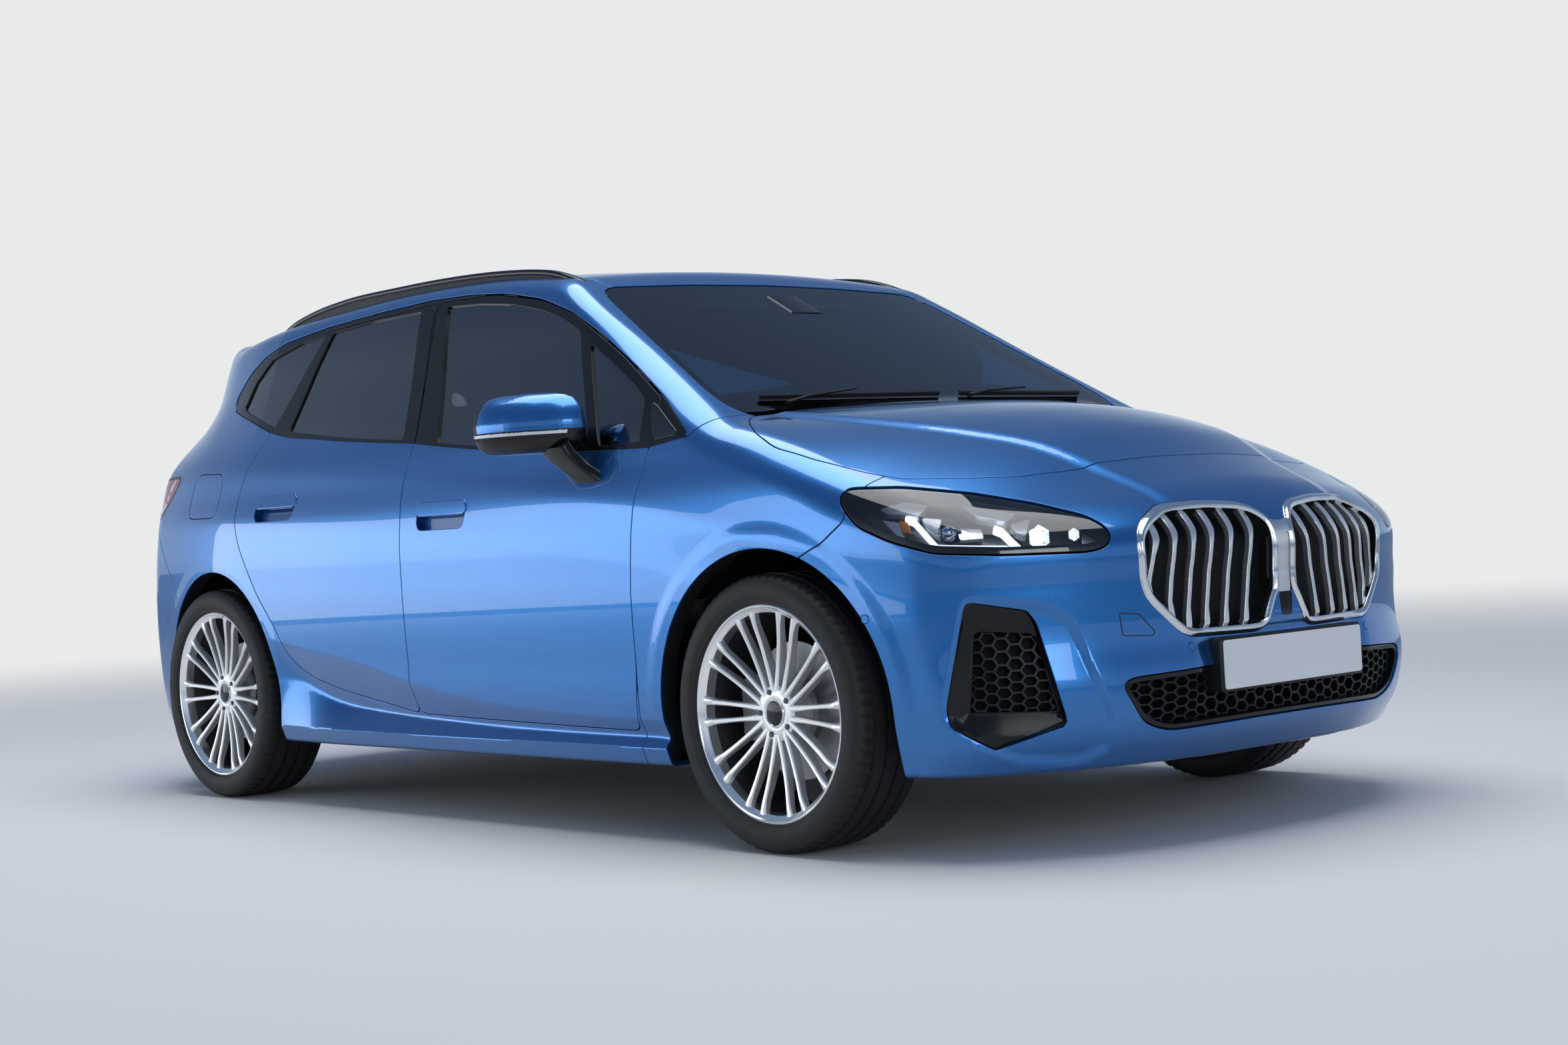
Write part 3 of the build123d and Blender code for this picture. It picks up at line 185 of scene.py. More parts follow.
# %% Curves and rounded corners
def curve(*points):
    """A smooth curve through (x, y) points that does not overshoot between them."""
    xs, ys = (np.array(v, float) for v in zip(*points))
    step = np.diff(xs)
    rise = np.diff(ys) / step
    slope = np.empty_like(ys)
    slope[1:-1] = (rise[1:] * step[:-1] + rise[:-1] * step[1:]) / (step[:-1] + step[1:])
    slope[0], slope[-1] = rise[0], rise[-1]

    def value(x):
        i = np.clip(np.searchsorted(xs, x) - 1, 0, len(xs) - 2)
        h = step[i]
        t = (x - xs[i]) / h
        c = np.clip(t, 0, 1)
        low = (2 * c**3 - 3 * c**2 + 1) * ys[i] + (c**3 - 2 * c**2 + c) * h * slope[i]
        high = (c**3 - c**2) * h * slope[i + 1] + (3 * c**2 - 2 * c**3) * ys[i + 1]
        return low + high + np.minimum(t, 0) * h * slope[i] + np.maximum(t - 1, 0) * h * slope[i + 1]
    return value


def rounded_max(a, b, size):
    h = np.clip(0.5 + 0.5 * (a - b) / size, 0, 1)
    return a * h + b * (1 - h) + size * h * (1 - h)


def rounded_min(a, b, size):
    return -rounded_max(-a, -b, size)


def ramp(start, end, v):
    t = np.clip((v - start) / (end - start), 0, 1)
    return t * t * (3 - 2 * t)


# %% Outlines and the distance to them
def soft(points, radius=0.02):
    """The same closed outline with rounded corners."""
    points = [Vector(p) for p in points]
    count = len(points)
    out = []
    for i, p in enumerate(points):
        before, after = points[i - 1], points[(i + 1) % count]
        a = p + (before - p).normalized() * min(radius, (before - p).length * 0.45)
        b = p + (after - p).normalized() * min(radius, (after - p).length * 0.45)
        for t in (0, 0.2, 0.4, 0.6, 0.8, 1):
            out.append(tuple(a * (1 - t) ** 2 + p * 2 * t * (1 - t) + b * t * t))
    return out


def within(outline, u, v):
    """How far (u, v) is inside a closed outline; negative outside."""
    near = np.full(u.shape, 1e9)
    odd = np.zeros(u.shape, bool)
    for (ax, ay), (bx, by) in zip(outline, outline[1:] + outline[:1]):
        ex, ey = bx - ax, by - ay
        long = ex * ex + ey * ey
        if long < 1e-14:
            continue
        t = np.clip(((u - ax) * ex + (v - ay) * ey) / long, 0, 1)
        near = np.minimum(near, np.hypot(u - ax - t * ex, v - ay - t * ey))
        if ay != by:
            odd ^= ((ay > v) != (by > v)) & (u < ax + (v - ay) / (by - ay) * ex)
    return np.where(odd, near, -near)


# %% The sides, with the sill, the lower crease and the wheel-arch flares
flank = curve((0.15, 0.862), (0.30, 0.893), (0.45, 0.900), (0.66, 0.905), (0.80, 0.9025), (0.87, 0.893),
              (0.95, 0.868), (1.02, 0.846), (1.10, 0.812), (1.25, 0.754), (1.40, 0.700), (1.475, 0.668),
              (1.56, 0.622), (1.65, 0.57))
taper = curve((TAIL - 0.14, 0.80), (-1.99, 0.885), (-1.69, 0.945), (REAR_AXLE, 0.985), (-0.79, 1), (0, 1),
              (0.83, 1), (FRONT_AXLE, 0.99), (1.70, 0.955), (2.0, 0.885), (NOSE + 0.14, 0.78))
lower_crease = curve((-1.0, 0.515), (-0.86, 0.491), (-0.475, 0.441), (-0.19, 0.387), (0.165, 0.341),
                     (0.49, 0.321), (0.97, 0.309), (1.2, 0.305))
shoulder_line = curve((-1.9, 1.06), (-1.2, 1.03), (-0.6, 0.985), (0.08, 0.93), (0.83, 0.845), (1.47, 0.72),
                      (2.0, 0.66))
tail_lean = curve((-2.3, 0.36), (-2.0, 0.22), (-1.9, 0.165), (-1.8, 0.115), (-1.7, 0.075), (-1.6, 0.045),
                  (-1.4, 0.015), (-1.2, 0.0), (0, 0.0))
UNDERCUT = 0.38
SILL_BAND = 0.238
SKIRT_TOP, SKIRT_FALL = 0.36, 4.0
FLARES = ((FRONT_AXLE, 0.437, 0.004), (REAR_AXLE, 0.425, 0.002))
FLARE_BLEND = 0.022


def door_side(x, z):
    """Half the width above the sill, with the shoulder and the hollow under the lower crease."""
    w = flank(z)
    over = z - shoulder_line(x)
    w = w + 0.05 * (0.03 - np.sqrt(over**2 + 0.015**2)) * (1 - ramp(0, 0.16, abs(over)))
    below = np.maximum(lower_crease(x) - z, 0)
    fade = ramp(-1.02, -0.80, x) * (1 - ramp(0.90, 1.02, x))
    return w - UNDERCUT * fade * (np.sqrt(below**2 + 0.006**2) - 0.006)


sill_slope = curve((-1.1, 0.06), (-0.93, 0.08), (-0.80, 0.30), (-0.62, 0.75), (0.0, 0.84), (1.1, 0.84))


def skirt(x, z):
    """Half the width of the sill, widest along its band; its top stands steeper towards the rear."""
    above = SKIRT_FALL * np.maximum(z - SKIRT_TOP, 0) ** 2
    return 0.892 - np.where(z > SILL_BAND, sill_slope(x), 0.35) * np.abs(z - SILL_BAND) - above


def side_width(x, z):
    """Half the width of the body at a height."""
    w = door_side(x, z)
    w = w + (rounded_max(w, skirt(x, z), 0.014) - w) * ramp(-1.15, -1.0, x) * (1 - ramp(0.95, 1.1, x))
    for axle, reach, lift in FLARES:
        r = np.hypot(x - axle, z - AXLE_HEIGHT)
        w = w + lift * (1 - ramp(reach - FLARE_BLEND, reach + FLARE_BLEND, r)) * ramp(0.20, 0.45, z)
    return w * taper(x) - np.maximum(tail_lean(x), 0) * ramp(1.0, 1.3, z)


# %% The bonnet, roof, nose and tail
bonnet_line = curve((0.8, 1.115), (1.10, 1.072), (1.40, 1.045), (1.60, 1.010), (1.75, 0.962), (1.915, 0.875),
                    (2.089, 0.794), (2.3, 0.70))
bonnet_drop = curve((0.8, 0.06), (1.1, 0.06), (1.4, 0.15), (1.6, 0.22), (1.75, 0.235), (1.915, 0.22),
                    (2.3, 0.17))
bonnet_ridge = curve((0.8, 0.66), (1.15, 0.62), (1.6, 0.46), (1.9, 0.34), (2.2, 0.30))
roof_line = curve((-2.3, 1.385), (-1.95, 1.436), (-1.5, 1.495), (-0.9, 1.538), (-0.35, 1.550), (0.0, 1.538),
                  (0.30, 1.508), (0.8, 1.43), (1.5, 1.3))
roof_drop = curve((-2.3, 0.11), (-1.95, 0.10), (-1.5, 0.09), (-0.9, 0.075), (-0.35, 0.072), (0.0, 0.075),
                  (0.375, 0.08), (0.8, 0.08))
nose_tip = curve((0.1, 2.05), (0.19, 2.105), (0.26, 2.163), (0.33, 2.186), (0.39, 2.188), (0.47, 2.172),
                 (0.6, 2.168), (0.70, 2.166), (0.80, 2.10), (0.9, 2.03), (1.2, 1.9))
tail_tip = curve((0.1, -2.09), (0.29, -2.165), (0.42, -2.188), (0.56, -2.193), (0.70, -2.179), (0.85, -2.151),
                 (0.98, -2.128), (1.08, -2.095), (1.25, -2.010), (1.40, -1.931), (1.6, -1.823))
corner_sweep = curve((0, 0), (0.2, 0.008), (0.4, 0.040), (0.6, 0.118), (0.75, 0.226), (0.86, 0.338),
                     (0.97, 0.48), (1.05, 0.61))
WINDSCREEN_FOOT = (1.120, 1.062)
WINDSCREEN_RUN = 1.83
WINDSCREEN_SAG, WINDSCREEN_HALF = 0.095, 0.95
SHOULDER_SIZE, ROOF_SHARPER = 0.075, 0.025
GLASS_STEEP, BONNET_STEEP, NOSE_STEEP, TAIL_STEEP = 2.085, 1.05, 1.1, 1.05
END_CORNER, FOOT_CORNER = 0.05, 0.012
RIDGE_RISE, PLATE_SEAT = 0.008, 0.012
CURTAIN_SURROUND = soft([(-1.088, 0.583), (-1.124, 0.601), (-1.376, 0.574), (-1.446, 0.540), (-1.565, 0.314),
                         (-1.545, 0.225), (-1.431, 0.198), (-1.237, 0.210), (-1.082, 0.268), (-1.007, 0.320),
                         (-1.021, 0.394)], 0.03)
CURTAIN_WALL = 0.036
CURTAIN_DEPTH = 0.014


def windscreen_sag(across):
    """How far the windscreen curves back towards its sides."""
    return WINDSCREEN_SAG * (across / WINDSCREEN_HALF) ** 2


def curtain_wall(x, across, z):
    """How far a point is inside the sunken surround of the air curtain."""
    x, across, z = np.broadcast_arrays(x, across, z)
    result = np.full(x.shape, -1.0)
    near = (x > 1.7) & (across > 0.5) & (z < 0.65) & (z > 0.15)
    result[near] = within(CURTAIN_SURROUND, across[near] - x[near], z[near])
    return result


def body(x, y, z):
    """How far a point is outside the car body; negative inside, zero on the skin."""
    across = np.abs(y)
    side = across - side_width(x, z)
    roof = z - (roof_line(x) - roof_drop(x) * across**2)
    foot, foot_z = WINDSCREEN_FOOT
    glass = x - (foot + WINDSCREEN_RUN * (foot_z - z) - windscreen_sag(across))
    cabin_top = rounded_max(roof, glass / GLASS_STEEP, 0.02)
    centre = RIDGE_RISE * (1 - ramp(-0.035, 0.02, across - bonnet_ridge(x)))
    bonnet = (z - (bonnet_line(x) - bonnet_drop(x) * across**2 + centre)) / BONNET_STEEP
    top = rounded_min(cabin_top, bonnet, 0.015)
    plate_seat = PLATE_SEAT * (1 - ramp(0.27, 0.33, across)) * ramp(0.28, 0.32, z) * (1 - ramp(0.47, 0.50, z))
    nose = (x - (nose_tip(z) - corner_sweep(across) - plate_seat)) / NOSE_STEEP
    tail = ((tail_tip(z) + corner_sweep(across)) - x) / TAIL_STEEP
    skin = rounded_max(side, top, SHOULDER_SIZE - ROOF_SHARPER * ramp(1.2, 1.4, z))
    skin = rounded_max(skin, nose, END_CORNER)
    skin = rounded_max(skin, tail, END_CORNER)
    skin = skin + CURTAIN_DEPTH * ramp(0.0, CURTAIN_WALL, curtain_wall(x, across, z))
    return rounded_max(skin, SILL - z, FOOT_CORNER)


print("body formula ready; half width at the axles", round(float(side_width(FRONT_AXLE, 0.6)), 3))

# %% [markdown]
# ## From the formula to panels
# The skin is meshed once, on the right half. A panel is the part of that mesh that lies inside
# its seam outlines, drawn in a side view, a plan or a front view. Its edge is then folded in with
# a small radius, as sheet metal is, so that every seam shows as a real gap. The grilles, lamps
# and air curtains are cut from finer meshes of the same skin, and most of what lies hidden
# behind the panels, such as tubs and rebates, from a coarser one.

# %% Mesh the skin
CUBE_EDGES = [(a, a | b) for a in range(8) for b in (1, 2, 4) if not a & b]


def gradient(shape, points):
    e = 1e-4
    x, y, z = points.T
    rises = (shape(x + e, y, z) - shape(x - e, y, z), shape(x, y + e, z) - shape(x, y - e, z),
             shape(x, y, z + e) - shape(x, y, z - e))
    return np.stack(rises, 1) / (2 * e)


def settle(shape, points, rounds=4):
    """Slide points along the slope until they lie on the surface."""
    for _ in range(rounds):
        slope = gradient(shape, points)
        miss = shape(*points.T) / np.maximum((slope**2).sum(1), 1e-6)
        points = points - miss[:, None] * slope
    return points


def unit(vectors):
    return vectors / np.maximum(np.linalg.norm(vectors, axis=1, keepdims=True), 1e-12)


def skin_mesh(shape, low, high, steps):
    """One point in each grid cell that the surface passes through, joined into triangles."""
    axes = [np.arange(a, b + s / 2, s) for a, b, s in zip(low, high, steps)]
    value = shape(*np.meshgrid(*axes, indexing="ij"))
    nx, ny, nz = (n - 1 for n in value.shape)
    corner = [value[i:nx + i, j:ny + j, k:nz + k] for k in (0, 1) for j in (0, 1) for i in (0, 1)]
    count = sum((c < 0).astype(int) for c in corner)
    cell = np.argwhere((count > 0) & (count < 8))
    number = np.full(count.shape, -1)
    number[tuple(cell.T)] = np.arange(len(cell))
    v = np.stack([c[tuple(cell.T)] for c in corner], 1)
    bits = np.array([[(c >> n) & 1 for n in range(3)] for c in range(8)], float)
    total, hits = np.zeros((len(cell), 3)), np.zeros(len(cell))
    for a, b in CUBE_EDGES:
        crossed = (v[:, a] < 0) != (v[:, b] < 0)
        t = np.where(crossed, v[:, a] / np.where(crossed, v[:, a] - v[:, b], 1), 0)
        total += np.where(crossed[:, None], bits[a] + t[:, None] * (bits[b] - bits[a]), 0)
        hits += crossed
    points = np.array(low) + (cell + total / hits[:, None]) * np.array(steps)
    triangles = []
    solid = value < 0
    for axis in range(3):
        u, w = ((1, 2), (2, 0), (0, 1))[axis]
        first, second = [slice(None)] * 3, [slice(None)] * 3
        first[axis], second[axis] = slice(0, -1), slice(1, None)
        edge = np.argwhere(solid[tuple(first)] != solid[tuple(second)])
        inner = (edge[:, u] > 0) & (edge[:, w] > 0)
        edge = edge[inner & (edge[:, u] < solid.shape[u] - 1) & (edge[:, w] < solid.shape[w] - 1)]
        outward = solid[tuple(first)][tuple(edge.T)]
        du, dw = np.eye(3, dtype=int)[u], np.eye(3, dtype=int)[w]
        ring = np.stack([number[tuple((edge - a * du - b * dw).T)]
                         for a, b in ((0, 0), (1, 0), (1, 1), (0, 1))], 1)
        ring[~outward] = ring[~outward][:, ::-1]
        triangles += [ring[:, [0, 1, 2]], ring[:, [0, 2, 3]]]
    return points, np.concatenate(triangles)

# %% Fields: positive where a panel is kept
def side_view(outline, grow=0.0):
    return lambda p: within(outline, p[:, 0], p[:, 2]) + grow


def plan_view(outline, grow=0.0):
    return lambda p: within(outline, p[:, 0], np.abs(p[:, 1])) + grow


def front_view(outline, grow=0.0):
    return lambda p: within(outline, np.abs(p[:, 1]), p[:, 2]) + grow


def not_in(field):
    return lambda p: -field(p)


def beyond(axis, level, sign=1):
    return lambda p: sign * (p[:, axis] - level)


def either(*fields):
    return lambda p: np.max([f(p) for f in fields], axis=0)


def outside_arch(axle, radius):
    """Clear of a wheel arch, which is open at its foot."""
    return lambda p: np.hypot(p[:, 0] - axle, np.maximum(p[:, 2] - AXLE_HEIGHT, 0)) - radius


# %% Cut, fold and build a panel
def cut(points, faces, value):
    """Keep the triangles where value is positive, split along the line where it is zero."""
    inside = value > 0
    count = inside[faces].sum(1)
    kept = [faces[count == 3]]
    mixed = faces[(count == 1) | (count == 2)]
    if len(mixed):
        state = inside[mixed]
        odd = np.where(state.sum(1) == 1, state.argmax(1), (~state).argmax(1))
        a, b, c = (mixed[np.arange(len(mixed)), (odd + k) % 3] for k in range(3))
        pairs = np.sort(np.stack([np.concatenate([a, a]), np.concatenate([b, c])], 1), 1)
        pairs, index = np.unique(pairs, axis=0, return_inverse=True)
        index = index.reshape(-1)
        p, q = pairs.T
        t = (value[p] / (value[p] - value[q]))[:, None]
        ab, ac = index[:len(a)] + len(points), index[len(a):] + len(points)
        points = np.concatenate([points, points[p] + t * (points[q] - points[p])])
        lone = inside[a]
        kept.append(np.stack([a, ab, ac], 1)[lone])
        kept.append(np.stack([ab, b, c], 1)[~lone])
        kept.append(np.stack([ab, c, ac], 1)[~lone])
    return tidy(points, np.concatenate(kept))


def score(points, faces, value):
    """Split the triangles along the line where value is zero, and keep both sides."""
    near, far = cut(points, faces, value), cut(points, faces, -value)
    points = np.concatenate([near[0], far[0]])
    faces = np.concatenate([near[1], far[1] + len(near[0])])
    _, first, index = np.unique(points.round(7), axis=0, return_index=True, return_inverse=True)
    faces = index.reshape(-1)[faces]
    whole = (faces[:, 0] != faces[:, 1]) & (faces[:, 1] != faces[:, 2]) & (faces[:, 2] != faces[:, 0])
    return points[first], faces[whole]


def tidy(points, faces):
    used, index = np.unique(faces, return_inverse=True)
    return points[used], index.reshape(faces.shape)


def rim_of(faces):
    """The edges that only one triangle uses, in that triangle's direction."""
    edges = np.concatenate([faces[:, [0, 1]], faces[:, [1, 2]], faces[:, [2, 0]]])
    key = np.sort(edges, 1)
    _, index, count = np.unique(key, axis=0, return_inverse=True, return_counts=True)
    return edges[count[index.reshape(-1)] == 1]


def fold(points, faces, normals, depth, radius=0.0015, back=False):
    """Round the free edge over and carry it inwards; back adds an inner face, to make a closed panel."""
    rim = rim_of(faces)
    middle_edge = (np.abs(points[rim][:, :, 1]) < 1e-5).all(1)
    rim = rim[~middle_edge]
    along = points[rim[:, 1]] - points[rim[:, 0]]
    away = unit(np.cross(unit(along), unit(normals[rim[:, 0]] + normals[rim[:, 1]])))
    out = np.zeros_like(points)
    np.add.at(out, rim[:, 0], away)
    np.add.at(out, rim[:, 1], away)
    edge, local = np.unique(rim, return_inverse=True)
    local = local.reshape(rim.shape)
    p, n, t = points[edge], normals[edge], unit(out[edge])
    t[np.abs(p[:, 1]) < 1e-5, 1] = 0
    face = t * np.sign(depth)
    rings = [(p + 0.7 * radius * t - 0.3 * radius * n, unit(n + face)), (p + radius * t - radius * n, face),
             (p + radius * t - depth * n, face)]
    all_points, all_normals, all_faces = [points], [normals], [faces]
    start, size = len(points), len(edge)
    lower = rim
    for ring_points, ring_normals in rings:
        upper = local + start
        all_faces.append(np.stack([lower[:, 1], lower[:, 0], upper[:, 0]], 1))
        all_faces.append(np.stack([lower[:, 1], upper[:, 0], upper[:, 1]], 1))
        all_points.append(ring_points)
        all_normals.append(ring_normals)
        start += size
        lower = upper
    if back:
        inner = points - depth * normals
        inner[edge] += radius * t
        all_points.append(inner)
        all_normals.append(-normals)
        all_faces.append(faces[:, ::-1] + start)
    return np.concatenate(all_points), np.concatenate(all_faces), np.concatenate(all_normals)


def tilted(raised, points, normals, step=1e-4):
    """The normals after a surface is raised by a varying height."""
    slope = np.stack([(raised(points + step * way) - raised(points - step * way)) / (2 * step)
                      for way in np.eye(3)], 1)
    return unit(normals - slope + (slope * normals).sum(1)[:, None] * normals)


def reflect(points, faces, normals):
    flip = np.array([1, -1, 1])
    return points * flip, faces[:, ::-1], normals * flip


def on_sides(points, faces, normals, sides):
    """A right-hand mesh on the right, the left or both sides."""
    if sides == "right":
        return points, faces, normals
    other = reflect(points, faces, normals)
    if sides == "left":
        return other
    return (np.concatenate([points, other[0]]), np.concatenate([faces, other[1] + len(points)]),
            np.concatenate([normals, other[2]]))


def make_object(name, points, faces, material, normals=None, rides="body_shell", stands_for=()):
    mesh = bpy.data.meshes.new(name)
    mesh.from_pydata([tuple(p) for p in points], [], [tuple(int(i) for i in f) for f in faces])
    mesh.materials.append(material)
    mesh.shade_smooth()
    if normals is not None:
        mesh.normals_split_custom_set_from_vertices([tuple(n) for n in normals])
    piece = bpy.data.objects.new(name, mesh)
    bpy.context.scene.collection.objects.link(piece)
    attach(piece, rides)
    if stands_for:
        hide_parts(*stands_for)
    return piece


def right_half(low, high, steps, *creases):
    """The skin on the right of the car between two corners of a box, cut off at the centre line.

    Triangle edges are made to run along the creases, so that they come out clean."""
    points, faces = skin_mesh(body, low, high, steps)
    points, faces = cut(points, faces, -points[:, 1] + 1e-9)
    points = settle(body, points)
    for crease in creases:
        points, faces = score(points, faces, crease(points))
    points = settle(body, points)
    points[np.abs(points[:, 1]) < 1e-3, 1] = 0
    return points, faces


def flare_edge(axle, reach):
    return lambda p: np.hypot(p[:, 0] - axle, p[:, 2] - AXLE_HEIGHT) - reach


COARSE = 1.0
CREASES = [flare_edge(axle, reach + step) for axle, reach, _ in FLARES
           for step in (-FLARE_BLEND, FLARE_BLEND)]
CREASES += [lambda p: p[:, 2] - lower_crease(p[:, 0]), lambda p: p[:, 2] - SILL_BAND,
            lambda p: door_side(p[:, 0], p[:, 2]) - skirt(p[:, 0], p[:, 2]),
            lambda p: curtain_wall(p[:, 0], np.abs(p[:, 1]), p[:, 2]),
            lambda p: curtain_wall(p[:, 0], np.abs(p[:, 1]), p[:, 2]) - CURTAIN_WALL]
SKIN_BOX = ((TAIL - 0.05, -0.98, SILL - 0.04), (NOSE + 0.05, 0.03, 1.60))
SKIN_STEPS = (0.018 * COARSE, 0.0125 * COARSE, 0.0125 * COARSE)
skin_points, skin_faces = right_half(*SKIN_BOX, SKIN_STEPS, *CREASES)
INNER_STEPS = (0.033, 0.024, 0.024)
inner_mesh = right_half(*SKIN_BOX, INNER_STEPS)


def patch(*fields, offset=0.0, source=None):
    """The part of the right-hand skin inside every field, moved inwards by the offset."""
    points, faces = source or (skin_points, skin_faces)
    for field in fields:
        value = field(points)
        near = (value > -0.05)[faces].any(1)
        points, faces = tidy(points, faces[near])
        points, faces = cut(points, faces, field(points))
    on_middle = np.abs(points[:, 1]) < 1e-6
    points = settle(body, points, rounds=2)
    points[on_middle, 1] = 0
    normals = unit(gradient(body, points))
    normals[on_middle, 1] = 0
    normals = unit(normals)
    return points - offset * normals, faces, normals


def panel(name, material, *fields, depth=0.014, radius=0.0015, offset=0.0, back=False, sides="both",
          rides="body_shell", stands_for=(), flip=False, raised=None, source=None):
    """Build a panel on the right, the left or both sides of the body."""
    points, faces, normals = patch(*fields, offset=offset, source=source)
    if raised is not None:
        points, normals = points + raised(points)[:, None] * normals, tilted(raised, points, normals)
    if depth:
        points, faces, normals = fold(points, faces, normals, depth, radius, back)
    if flip:
        faces, normals = faces[:, ::-1], -normals
    points, faces, normals = on_sides(points, faces, normals, sides)
    return make_object(name, points, faces, material, normals, rides, stands_for)


def drop(starts, direction):
    """Where rays from outside the car first meet the skin."""
    points = np.array(starts, float).reshape(-1, 3)
    heading = np.array(direction, float) / np.linalg.norm(direction)
    for _ in range(90):
        points = points + 0.6 * body(*points.T)[:, None] * heading
    return points, unit(gradient(body, points))


def from_front(u, z):
    return drop(np.stack([np.full(len(u), 2.5), -np.asarray(u), z], 1), (-1, 0, 0))


def from_side(x, z):
    return drop(np.stack([x, np.full(len(x), -1.2), z], 1), (0, 1, 0))


def from_corner(s, z):
    s = np.asarray(s)
    return drop(np.stack([np.full(len(s), 2.6), -(s + 2.6), z], 1), (-1, 1, 0))


print("skin:", len(skin_faces), "triangles on one side")

# %% [markdown]
# ## Paint, glass, rubber and metal
# Metallic paint is a dark base with bright flake under a clear coat. Glass is thin and slightly
# grey; the rear windows are privacy glass, which is much darker.

# %% Materials
def surface(name, colour, rough=0.5, metal=0.0, coat=0.0, specular=0.5, emission=None):
    """A plain finish; emission is a colour and a strength."""
    material = bpy.data.materials.new(name)
    material.use_nodes = True
    shader = material.node_tree.nodes["Principled BSDF"]
    shader.inputs["Base Color"].default_value = (*colour, 1)
    shader.inputs["Roughness"].default_value = rough
    shader.inputs["Metallic"].default_value = metal
    shader.inputs["Coat Weight"].default_value = coat
    shader.inputs["Coat Roughness"].default_value = 0.02
    shader.inputs["Specular IOR Level"].default_value = specular
    if emission:
        shader.inputs["Emission Color"].default_value = (*emission[:3], 1)
        shader.inputs["Emission Strength"].default_value = emission[3]
    return material


def rough_by_noise(material, scale, low, high, bump=0.0):
    """Break up the gloss, and the surface too, with fine noise."""
    tree = material.node_tree
    shader = tree.nodes["Principled BSDF"]
    place = wired(tree, "ShaderNodeTexCoord").outputs["Object"]
    noise = wired(tree, "ShaderNodeTexNoise", {"Scale": scale, "Detail": 4}, Vector=place).outputs["Fac"]
    levels = wired(tree, "ShaderNodeMapRange", {"To Min": low, "To Max": high}, Value=noise)
    tree.links.new(levels.outputs["Result"], shader.inputs["Roughness"])
    if bump:
        dent = wired(tree, "ShaderNodeBump", {"Strength": bump, "Distance": 0.001}, Height=noise)
        tree.links.new(dent.outputs["Normal"], shader.inputs["Normal"])
    return material


FLAKE_SCALE = 900
SKY_TINT = (0.95, 0.97, 1.0, 1)


def flake(material, colour_a, colour_b):
    """Metal flake: a very fine mottle between two shades of the paint."""
    tree = material.node_tree
    place = wired(tree, "ShaderNodeTexCoord").outputs["Object"]
    mottle = wired(tree, "ShaderNodeTexVoronoi", {"Scale": FLAKE_SCALE}, Vector=place)
    shades = wired(tree, "ShaderNodeMix")
    shades.data_type = "RGBA"
    shades.inputs[6].default_value = (*colour_a, 1)
    shades.inputs[7].default_value = (*colour_b, 1)
    tree.links.new(mottle.outputs["Color"], shades.inputs[0])
    tree.links.new(shades.outputs[2], tree.nodes["Principled BSDF"].inputs["Base Color"])


def clear(name, tint, ior=1.6):
    """Thin glass: what is behind shows through, and the sky reflects off it."""
    material = bpy.data.materials.new(name)
    material.use_nodes = True
    tree = material.node_tree
    tree.nodes.remove(tree.nodes["Principled BSDF"])
    through = wired(tree, "ShaderNodeBsdfTransparent", {"Color": (*tint, 1)})
    shine = wired(tree, "ShaderNodeBsdfGlossy", {"Roughness": 0, "Color": SKY_TINT})
    edge = wired(tree, "ShaderNodeFresnel", {"IOR": ior})
    mix_shaders(tree, edge.outputs["Fac"], through, shine)
    return material


# %% The finishes of this car
paint = surface("blue_paint", (0.02, 0.16, 0.46), rough=0.28, metal=0.85, coat=1.0)
flake(paint, (0.012, 0.125, 0.37), (0.028, 0.20, 0.55))
# A darker copy of the blue paint: painted shade for the handle pockets and the door rebates.
shade_darkened_paint = surface("blue_paint_painted_shade", (0.008, 0.08, 0.26), rough=0.4, metal=0.5, coat=0.5)
gloss_black = surface("gloss_black", (0.006, 0.006, 0.007), rough=0.12, coat=0.15, specular=0.3)
satin_black = rough_by_noise(surface("satin_black", (0.009, 0.009, 0.010), rough=0.4, specular=0.3), 40,
                             0.35, 0.5)
matt_black = rough_by_noise(surface("matt_black", (0.008, 0.008, 0.009), specular=0.2), 60, 0.6, 0.8, 0.1)
seal_rubber = surface("seal_rubber", (0.010, 0.010, 0.011), rough=0.7)
chrome = surface("bright_trim", (0.75, 0.76, 0.78), rough=0.12, metal=1.0)
satin_silver = surface("satin_silver", (0.78, 0.785, 0.79), rough=0.28, metal=0.9)
lamp_silver = surface("lamp_silver", (0.66, 0.67, 0.69), rough=0.25, metal=0.7)
lamp_light = surface("lamp_light", (0.9, 0.95, 1.0), rough=0.3, emission=(0.8, 0.92, 1.0, 1.2))
amber = surface("amber", (0.7, 0.22, 0.02), rough=0.3)
red_lamp = surface("red_lamp", (0.35, 0.005, 0.008), rough=0.12, coat=1.0)
white_lamp = surface("white_lamp", (0.75, 0.75, 0.76), rough=0.2, coat=1.0)
plate_white = surface("plate_white", (0.72, 0.73, 0.74), rough=0.35)
plate_yellow = surface("plate_yellow", (0.75, 0.55, 0.04), rough=0.35)
window_glass = clear("window_glass", (0.62, 0.68, 0.68), 2.2)
screen_glass = clear("screen_glass", (0.70, 0.76, 0.75))
privacy_glass = clear("privacy_glass", (0.14, 0.16, 0.18), 2.4)
lens_glass = clear("lens_glass", (0.93, 0.95, 0.97))
screen_black = surface("screen_black", (0.004, 0.005, 0.007), rough=0.06, coat=0.5)
print("materials:", len(bpy.data.materials))

# %% [markdown]
# ## Seams
# All seams are outlines in metres: side views are (x, z), plans are (x, |y|), front views are
# (|y|, z), and a corner view, which suits what wraps round a corner of the car, is (|y| - x, z).

